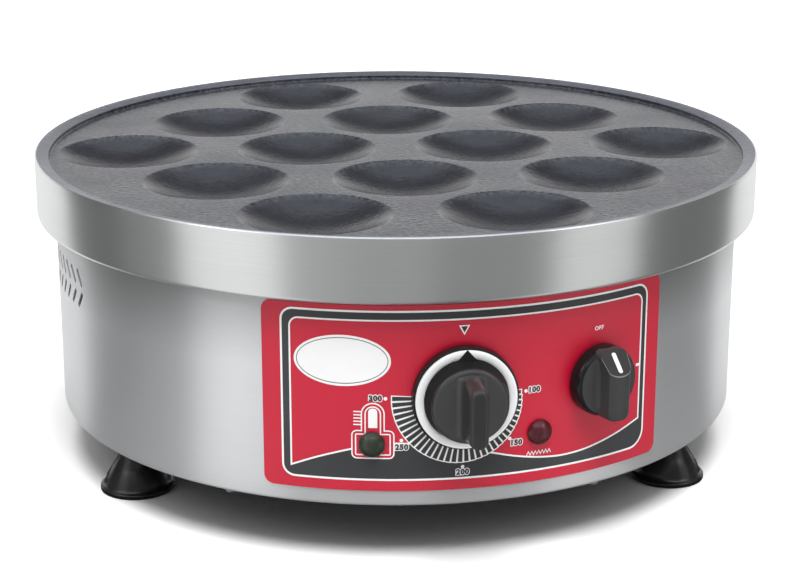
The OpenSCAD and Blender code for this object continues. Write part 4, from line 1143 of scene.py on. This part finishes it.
def switch_bar_shape(settings):
    """Bar of the switch knob: crowned, rounded at the heel, cut off by a slope that widens to the marked end.

    Gives the points, the faces, and for each point whether it lies on an edge of the slope, where a painted highlight
    goes, and how much of the face's tone it keeps: less on the slope, a painted shade.
    """
    half, corner, wing = SWITCH_BAR, SWITCH_CORNER, SWITCH_WING
    fall, end = slope_fall(settings)
    top = KNOB_UNDERSIDE + in_mm(settings.switch_height)
    crown, heel, soft, fillet = 2.6, 2.6, 0.25, 2.4
    columns = [half * math.sin(math.radians(a)) for a in range(-90, 91, 6)]
    shares = [0, 0.01, 0.03, 0.06, 0.1, 0.2, 0.35, 0.5, 0.65, 0.8, 0.9, 0.95, 0.975, 0.99]
    beyond = [0.0, 0.015, 0.03, 0.06, 0.12, 0.25, 0.4, 0.55, 0.7, 0.85, 1.0]
    first_row, rows, last = len(shares), len(shares) + len(beyond), len(columns) - 1

    def drop(x):
        return crown * (1 - math.sqrt(1 - 0.985 * (x / half) ** 2))

    def height(x, y, tail):
        level = top - drop(x)
        if tail < heel:
            level -= heel - math.sqrt(heel**2 - (heel - tail) ** 2)
        cut = top - fall * (y - SLOPE_START)
        near = max(0.0, soft - abs(level - cut))
        return min(level, cut) - near * near / (4 * soft)

    points, edge, painted_shade_mask = [], [], []
    for i, x in enumerate(columns):
        beside = max(0.0, abs(x) - (half - corner))
        reach = end - corner + math.sqrt(max(0.0, corner**2 - beside**2))
        crease = SLOPE_START + drop(x) / fall
        ys = [-reach + (crease + reach) * u for u in shares] + [crease + (reach - crease) * u for u in beyond]
        for j, y in enumerate(ys):
            widen = 1 + 0.35 * max(0.0, y - SLOPE_START) / (end - SLOPE_START)
            points.append((x * widen, y, height(x, y, y + reach)))
            edge.append(float(abs(j - first_row) < 2 or (j > first_row and min(i, last - i) < 3)))
            # Painted shade: the slope beyond the crease keeps less of the face's tone.
            painted_shade_mask.append(0.4 if j > first_row + 1 else 1.0)
    faces = [
        (i * rows + j, (i + 1) * rows + j, (i + 1) * rows + j + 1, i * rows + j + 1)
        for i in range(last)
        for j in range(rows - 1)
    ]
    rim = (
        [i * rows for i in range(last)]
        + [last * rows + j for j in range(rows - 1)]
        + [i * rows + rows - 1 for i in range(last, 0, -1)]
        + list(range(rows - 1, 0, -1))
    )
    plan = np.array([points[v][:2] for v in rim])
    run = np.roll(plan, -1, 0) - np.roll(plan, 1, 0)
    outward = np.stack((run[:, 1], -run[:, 0]), 1) / np.linalg.norm(run, axis=1)[:, None]
    limit = in_mm(settings.switch_radius) - 2.2
    rings = [[(*plan[k], points[v][2] - 0.25) for k, v in enumerate(rim)]]
    for t in (math.radians(15 * k) for k in range(6, -1, -1)):
        ring = []
        for k, v in enumerate(rim):
            room = limit - math.hypot(*plan[k])
            bend = max(0.0, min(fillet, points[v][2] - wing - 0.3, room))
            x, y = plan[k] + outward[k] * bend * (1 - math.sin(t))
            ring.append((x, y, wing + bend * (1 - math.cos(t))))
        rings.append(ring)
    rings.append([(x, y, wing - 2.5) for x, y, _ in rings[-1]])
    walls = [p for ring in rings for p in ring]
    starts = range(len(points), len(points) + len(walls), len(rim))
    levels = [rim] + [range(start, start + len(rim)) for start in starts]
    faces += [face[::-1] for face in skin(levels)] + [tuple(reversed(levels[-1]))]
    return points + walls, faces, edge + [0.0] * len(walls), painted_shade_mask + [1.0] * len(walls)


def switch_base_shape(settings):
    """Round base of the switch knob with a bevelled shoulder."""
    low, edge, wing = KNOB_UNDERSIDE, in_mm(settings.switch_radius), SWITCH_WING
    profile = [
        (0.0, low), (edge - 0.4, low), (edge, low + 0.4), (edge, wing - 2.8), (edge - 0.15, wing - 2.2),
        (edge - 1.1, wing - 0.6), (edge - 1.5, wing - 0.2), (edge - 2.1, wing), (0.0, wing),
    ]
    return lathe(profile, 120)


def switch_mark_shape(settings):
    """Raised line on the sloping end."""
    fall, end = slope_fall(settings)
    lean = math.atan(fall)
    middle = (SLOPE_START + end) / 2
    middle_h = KNOB_UNDERSIDE + in_mm(settings.switch_height) - fall * (middle - SLOPE_START)
    half = min(11.0, (end - SLOPE_START) / math.cos(lean) - 3.2) / 2
    c, s = math.cos(lean), math.sin(lean)
    outline = rounded_box(-1.2, -half, 1.2, half, (1.1,) * 4, 6)
    inner = rounded_box(-1.0, -half + 0.2, 1.0, half - 0.2, (0.9,) * 4, 6)
    return loft(
        [
            [(x, middle + y * c + lift * s, middle_h - y * s + lift * c) for x, y in loop]
            for lift, loop in ((-0.4, outline), (0.22, outline), (0.36, inner))
        ]
    )


class MAKER_OT_switch(bpy.types.Operator):
    """Rotary switch knob with its white line"""

    bl_idname = "maker.switch"
    bl_label = "Switch knob"

    def execute(self, context):
        settings = context.scene.maker_knobs
        place = wall_place(SWITCH_AZIMUTH, CONTROL_Z)
        base = switch_base_shape(settings)
        *bar, edge, painted_shade_mask = switch_bar_shape(settings)
        # Painted shade on the base's side below the face; painted highlight along the slope's edges.
        marks = {
            "front": [float(h > SWITCH_WING - 0.05) for _, _, h in base[0]] + painted_shade_mask,
            "rubbed": [0.0] * len(base[0]) + edge,
        }
        black = knob_plastic("switch_plastic", settings, shine=0.22)
        knob = moved(joined(base, bar), place)
        add_piece("switch_grip", knob, [black], "switch_dial", ["switch_knob"], crease=34.0, marks=marks)
        white = grained("mark_white", settings.mark, shade(settings.mark, 0.95), 0.42, bump=0.04)
        line = moved(switch_mark_shape(settings), place)
        add_piece("switch_line", line, [white], "switch_dial", ["switch_knob_marker"])
        return {"FINISHED"}


# Lamps


def lens_shape(settings):
    """Domed lens with a rim and fine rings."""
    r, h = in_mm(settings.radius), in_mm(settings.height)
    rim, ridge, steps = 1.0, 0.05, 32
    crown = (r * r + (h - rim) ** 2) / (2 * (h - rim))
    half = math.asin(r / crown)
    low = FILM_FRONT + 0.1
    dome = []
    for i in range(steps + 1):
        a = half * (1 - i / steps)
        ridged = crown + (ridge * math.cos(math.pi * i) if 3 < i < 28 else 0.0)
        dome.append((ridged * math.sin(a), low + h - crown + ridged * math.cos(a)))
    return lathe([(0.0, low), (r - 0.1, low), (r, low + 0.2), *dome], 64)


class MAKER_OT_lamps(bpy.types.Operator):
    """Two domed lamp lenses, unlit"""

    bl_idname = "maker.lamps"
    bl_label = "Lamps"

    def execute(self, context):
        settings = context.scene.maker_lamps
        for name, azimuth, height in LAMPS:
            colour = getattr(settings, name)
            glassy = grained(
                name + "_glass", colour, shade(colour, 0.7), 0.30, patch=300.0, bump=0.04, Specular_IOR_Level=0.5
            )
            shape = moved(lens_shape(settings), wall_place(azimuth, height))
            add_piece(name + "_dome", shape, [glassy], "body", [name + "_lamp_lens"], crease=60.0)
        return {"FINISHED"}


# Feet and gland


def foot_shape(settings):
    """Cone foot with a flared flange."""
    flange, neck = in_mm(settings.flange), in_mm(settings.neck)
    high = in_mm(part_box("foot_left")[1].z)
    profile = (
        [(0.0, 0.0), (flange - 3.2, 0.0), (flange - 2.6, 0.35), (flange - 0.9, 0.1)]
        + arc((flange - 0.8, 0.8), 0.8, -75, 0, 4)
        + arc((flange - 0.8, 1.9), 0.8, 0, 85, 5)
        + [(flange - 1.5, 3.0), (flange - 2.2, 3.9), (flange - 2.8, 5.4), (flange - 3.5, 7.7)]
        + [(neck + 3.2, 13.2), (neck, 18.4), (neck, high - 0.4), (neck - 0.4, high), (0.0, high)]
    )
    return lathe(profile, 96)


class MAKER_OT_feet(bpy.types.Operator):
    """Three moulded cone feet"""

    bl_idname = "maker.feet"
    bl_label = "Feet"

    def execute(self, context):
        settings = context.scene.maker_feet
        for name in ("foot_left", "foot_right", "foot_rear"):
            low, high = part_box(name)
            middle = [in_mm(v) for v in (low + high) / 2]
            shape = moved(foot_shape(settings), lambda p: (p[0] + middle[0], p[1] + middle[1], p[2]))
            add_piece(name + "_moulding", shape, [foot_rubber(settings)], "body", [name], crease=50.0)
        return {"FINISHED"}


def fluted_cap():
    """Cap of the cable gland with grips around it and a bore."""
    grips, dent = 16, 0.75
    outline = [
        # radius, height, depth of the grips
        (9.35, 10.0, 0.0), (11.2, 10.0, 0.0), (11.7, 10.5, 0.2), (12.0, 11.5, 1.0), (12.0, 25.5, 1.0),
        (11.7, 28.0, 0.6), (11.0, 30.2, 0.2), (9.6, 32.0, 0.0), (8.0, 33.2, 0.0), (6.2, 33.4, 0.0),
        (5.4, 32.9, 0.0), (5.4, 19.0, 0.0), (9.35, 19.0, 0.0),
    ]
    rings = []
    for radius, h, deep in outline:
        turns = [(a, radius - deep * dent * max(0.0, math.cos(grips * a)) ** 2) for a in around(192)]
        rings.append([(r * math.cos(a), r * math.sin(a), h) for a, r in turns])
    return loft(rings + rings[:1], closed=False)


def gland_hexagon():
    """Body of the gland: chamfered hexagon outside the wall, with its stem and bore."""
    flat, bore, stem, neck, chamfer, corner = 12.0, 4.6, 9.8, 9.3, 12.6, 13.86
    outline = [
        # radius, height, whether the hexagon's flats cut it
        (bore, -12.0, False), (stem, -12.0, False), (stem, 0.0, False), (chamfer, 0.0, True), (corner, 0.8, True),
        (corner, 9.2, True), (chamfer, 10.0, True), (neck, 10.0, False), (neck, 18.0, False), (bore, 18.0, False),
    ]
    rings = []
    for radius, h, six in outline:
        turns = [(a, flat / math.cos((a % (math.pi / 3)) - math.pi / 6)) for a in around(96)]
        turns = [(a, min(radius, limit) if six else radius) for a, limit in turns]
        rings.append([(r * math.cos(a), r * math.sin(a), h) for a, r in turns])
    return loft(rings + rings[:1], closed=False)


class MAKER_OT_gland(bpy.types.Operator):
    """Cable gland low on the back"""

    bl_idname = "maker.gland"
    bl_label = "Cable gland"

    def execute(self, context):
        place = wall_place(180, GLAND_Z)
        black = foot_rubber(context.scene.maker_feet)
        for name, draw, node in (
            ("gland_grip", fluted_cap, "gland_cap"),
            ("gland_hexagon", gland_hexagon, "gland_body"),
        ):
            add_piece(name, moved(draw(), place), [black], "body", [node], crease=35.0)
        return {"FINISHED"}


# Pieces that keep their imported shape


class MAKER_OT_inner_works(bpy.types.Operator):
    """Finishes of the fasteners, heater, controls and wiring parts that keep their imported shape"""

    bl_idname = "maker.inner_works"
    bl_label = "Inner works"

    def execute(self, context):
        zinc = (0.62, 0.63, 0.64)
        finishes = {
            "fastener": grained("zinc_plate", zinc, shade(zinc, 0.8), 0.34, patch=240.0, bump=0.06, Metallic=1.0),
            "sheet_steel": grained(
                "galvanised", shade(zinc, 0.4), shade(zinc, 0.28), 0.5, patch=70.0, bump=0.06, Metallic=0.9
            ),
            "copper_alloy": grained(
                "brass", (0.70, 0.48, 0.26), (0.52, 0.34, 0.18), 0.32, patch=200.0, bump=0.05, Metallic=1.0
            ),
            "element": grained(
                "oxidised_sheath", (0.20, 0.17, 0.15), (0.09, 0.08, 0.075), 0.52, patch=90.0, bump=0.12, Metallic=1.0
            ),
            "block": grained("pale_insulator", (0.78, 0.75, 0.68), (0.66, 0.63, 0.57), 0.5, bump=0.08),
            "insulation": grained(
                "ceramic_fibre", (0.80, 0.78, 0.73), (0.62, 0.60, 0.56), 0.9, fine=900.0, bump=0.6, distance=0.0006
            ),
            "control_plastic": grained(
                "control_moulding", (0.03, 0.03, 0.032), (0.02, 0.02, 0.022), 0.45, bump=0.1
            ),
        }
        for row in frame["record"]["subparts"]:
            node = frame["nodes"][row["node"]]
            if not node.hide_render:
                finish = finishes[row["material_slot"]]
                if not node.material_slots:
                    node.data.materials.append(finish)
                for slot in node.material_slots:
                    slot.material = finish
        return {"FINISHED"}


# Studio


WHITE = (1.0, 1.0, 1.0)
FLOOR_HALF = 8.0
LAMP_AIM = Vector((0, 0, 0.1))
TALL = (-14.0, 2.2, 3.0)
CURVED_CARDS = (
    # name, start and end from the camera's azimuth, low and high edge, reach, tone
    ("far_left_card", -118.5, -90, *TALL, 0.145),
    ("left_card", -90, -66.5, *TALL, 0.245),
    ("front_left_card", -34, -14, *TALL, 0.41),
    ("front_card", -14, 12, *TALL, 0.355),
    ("front_right_card", 12, 48, *TALL, 0.265),
    ("right_gap_card", 48, 77, *TALL, 0.80),
    ("right_card", 77, 126, *TALL, 0.17),
    ("back_card", 95, 265, 1.35, 3.3, 3.0, 0.14),
    ("left_kicker", -64, -50, 0.95, 1.35, 1.6, 5.0),
    ("right_kicker", 52, 64, 0.95, 1.35, 1.6, 5.0),
    ("front_kicker", -35, 35, 2.25, 2.9, 2.4, 3.4),
)
DISC_CARDS = (
    # name, height, reach, tone, colour
    ("top_card", 3.4, 2.9, 1.0, (0.93, 1.0, 1.13)),
    # Painted shadow: the near and under cards are dark discs on the floor, seen only in reflections, that stand in
    # for the object's shadow there.
    ("near_card", 0.0001, 0.255, 0.42, WHITE),
    ("under_card", 0.0002, 0.21, 0.04, WHITE),
)
SOFTBOXES = (
    # name, azimuth from the camera's, elevation, reach, size, power
    ("left_softbox", -60, 40, 1.8, 0.9, 1.9),
    ("right_softbox", 64, 36, 1.8, 0.8, 1.6),
)


def plain_emission(name, colour, strength):
    material = bpy.data.materials.new(name)
    material.use_nodes = True
    tree = material.node_tree
    tree.nodes.clear()
    out = tree.nodes.new("ShaderNodeOutputMaterial")
    glow = tree.nodes.new("ShaderNodeEmission")
    feed(tree, glow.inputs["Color"], colour)
    feed(tree, glow.inputs["Strength"], strength)
    tree.links.new(glow.outputs[0], out.inputs["Surface"])
    return material


def add_stage(name, verts, faces, finish):
    """A piece of the studio that isn't part of the object."""
    mesh = bpy.data.meshes.new(name)
    mesh.from_pydata(verts, [], faces)
    mesh.materials.append(finish)
    piece = placed(name, mesh)
    return piece


def add_card(name, verts, faces, tone, colour):
    """A studio card that only the object's reflections see."""
    card = add_stage(name, verts, faces, plain_emission(name, colour, tone))
    card.visible_camera = card.visible_diffuse = card.visible_shadow = False


def add_curved_card(name, start, end, low, high, reach, tone):
    """A card that curves about the object between two azimuths and two heights."""
    steps = 24
    turns = [math.radians(start + (end - start) * i / steps) for i in range(steps + 1)]
    verts = [(reach * math.sin(a), -reach * math.cos(a), z) for z in (low, high) for a in turns]
    add_card(name, verts, [(i, i + 1, steps + 2 + i, steps + 1 + i) for i in range(steps)], tone, WHITE)


def add_disc_card(name, height, reach, tone, colour):
    """A flat round card over or under the object."""
    verts = [(x, y, height) for x, y in circle((0, 0), reach, 64)]
    add_card(name, verts, [tuple(range(len(verts)))], tone, colour)


def heading(azimuth, elevation):
    """Direction out from the drum's axis; both angles are in radians."""
    level = math.cos(elevation)
    return Vector((math.sin(azimuth) * level, -math.cos(azimuth) * level, math.sin(elevation)))


def add_lamp(name, kind, azimuth, elevation, reach, energy):
    """A lamp that faces the object."""
    light = bpy.data.lights.new(name, kind)
    light.energy = energy
    lamp = placed(name, light)
    back = heading(math.radians(azimuth), math.radians(elevation))
    lamp.location = LAMP_AIM + back * reach
    lamp.rotation_mode = "QUATERNION"
    lamp.rotation_quaternion = back.to_track_quat("Z", "Y")
    return lamp


def add_softbox(name, azimuth, elevation, reach, size, power):
    """A square soft light that the camera doesn't see."""
    lamp = add_lamp(name, "AREA", azimuth, elevation, reach, power)
    lamp.data.shape, lamp.data.size = "SQUARE", size
    lamp.visible_camera = False


def white_world(low, high):
    """White to the camera, to what it sees reflected and to glass.

    All else gets a sky that goes from low at the horizon to high overhead.
    """
    world = bpy.data.worlds.new("studio")
    bpy.context.scene.world = world
    world.use_nodes = True
    tree = world.node_tree
    tree.nodes.clear()
    split = tree.nodes.new("ShaderNodeSeparateXYZ")
    tree.links.new(tree.nodes.new("ShaderNodeTexCoord").outputs["Generated"], split.inputs[0])
    rise = math_node(tree, "POWER", math_node(tree, "MAXIMUM", split.outputs[2], 0.0), 2.0)
    level = math_node(tree, "MULTIPLY_ADD", rise, high - low, low)
    path = tree.nodes.new("ShaderNodeLightPath")
    first = math_node(tree, "LESS_THAN", path.outputs["Diffuse Depth"], 0.5)
    seen = math_node(tree, "MULTIPLY", path.outputs["Is Glossy Ray"], first)
    for ray in ("Is Camera Ray", "Is Transmission Ray"):
        seen = math_node(tree, "MAXIMUM", seen, path.outputs[ray])
    mix = tree.nodes.new("ShaderNodeMixShader")
    tree.links.new(seen, mix.inputs[0])
    for socket, strength in zip(mix.inputs[1:], (level, 1.0)):
        sky = tree.nodes.new("ShaderNodeBackground")
        feed(tree, sky.inputs["Color"], WHITE)
        feed(tree, sky.inputs["Strength"], strength)
        tree.links.new(sky.outputs[0], socket)
    out = tree.nodes.new("ShaderNodeOutputWorld")
    tree.links.new(mix.outputs[0], out.inputs["Surface"])


def floor_finish(colour):
    """Pale floor, white to the camera, that keeps the object's shadow."""
    finish = Finish("studio_floor", Roughness=1.0, Specular_IOR_Level=0.0)
    path = finish.tree.nodes.new("ShaderNodeLightPath")
    finish.set("Base Color", finish.blend(path.outputs["Is Camera Ray"], colour, WHITE))
    return finish.material


class MAKER_OT_studio(bpy.types.Operator):
    """Camera, soft light, reflection cards and floor"""

    bl_idname = "maker.studio"
    bl_label = "Studio"

    def execute(self, context):
        settings = context.scene.maker_studio
        back = heading(settings.azimuth, settings.elevation)
        right = Vector((math.cos(settings.azimuth), math.sin(settings.azimuth), 0))
        data = bpy.data.cameras.new("camera")
        data.lens, data.sensor_width = settings.lens, 36.0
        camera = placed("camera", data)
        camera.location = right * settings.aim_shift + back * settings.distance
        camera.location.z += settings.aim_height
        camera.rotation_mode = "QUATERNION"
        camera.rotation_quaternion = (-back).to_track_quat("-Z", "Y")
        context.scene.camera = camera
        context.scene.view_settings.view_transform = "Standard"

        corners = [(x, y, 0) for x, y in square_box(-FLOOR_HALF, -FLOOR_HALF, FLOOR_HALF, FLOOR_HALF)]
        floor = add_stage("floor", corners, [(0, 1, 2, 3)], floor_finish(settings.floor))
        floor.visible_glossy = False

        turn = math.degrees(settings.azimuth)
        white_world(0.02, 1.15)
        sun = add_lamp("front_light", "SUN", turn + 4, 68, 2.0, 3.0)
        sun.data.angle = math.radians(30)
        sun.visible_glossy = False
        for name, aside, *rest in SOFTBOXES:
            add_softbox(name, turn + aside, *rest)
        for name, start, end, *rest in CURVED_CARDS:
            add_curved_card(name, turn + start, turn + end, *rest)
        for row in DISC_CARDS:
            add_disc_card(*row)
        return {"FINISHED"}


OPERATORS = (
    MAKER_OT_studio,
    MAKER_OT_cooking_plate,
    MAKER_OT_drum,
    MAKER_OT_panel,
    MAKER_OT_dial,
    MAKER_OT_switch,
    MAKER_OT_lamps,
    MAKER_OT_feet,
    MAKER_OT_gland,
    MAKER_OT_inner_works,
)


class MAKER_PT_panel(bpy.types.Panel):
    """Lists the pieces that this file builds"""

    bl_idname = "MAKER_PT_panel"
    bl_label = "Pancake Maker"
    bl_space_type = "VIEW_3D"
    bl_region_type = "UI"
    bl_category = "Pancake Maker"

    def draw(self, context):
        for operator in OPERATORS:
            self.layout.operator(operator.bl_idname)


def register():
    for name, group in SETTINGS.items():
        bpy.utils.register_class(group)
        setattr(bpy.types.Scene, name, PointerProperty(type=group))
    for cls in (*OPERATORS, MAKER_PT_panel):
        bpy.utils.register_class(cls)


def unregister():
    for cls in (MAKER_PT_panel, *reversed(OPERATORS)):
        bpy.utils.unregister_class(cls)
    for name, group in SETTINGS.items():
        delattr(bpy.types.Scene, name)
        bpy.utils.unregister_class(group)


def main():
    register()
    bpy.ops.maker.studio()
    bpy.ops.maker.cooking_plate()
    bpy.ops.maker.drum()
    bpy.ops.maker.panel()
    bpy.ops.maker.dial()
    bpy.ops.maker.switch()
    bpy.ops.maker.lamps()
    bpy.ops.maker.feet()
    bpy.ops.maker.gland()
    bpy.ops.maker.inner_works()


if __name__ == "__main__":
    main()
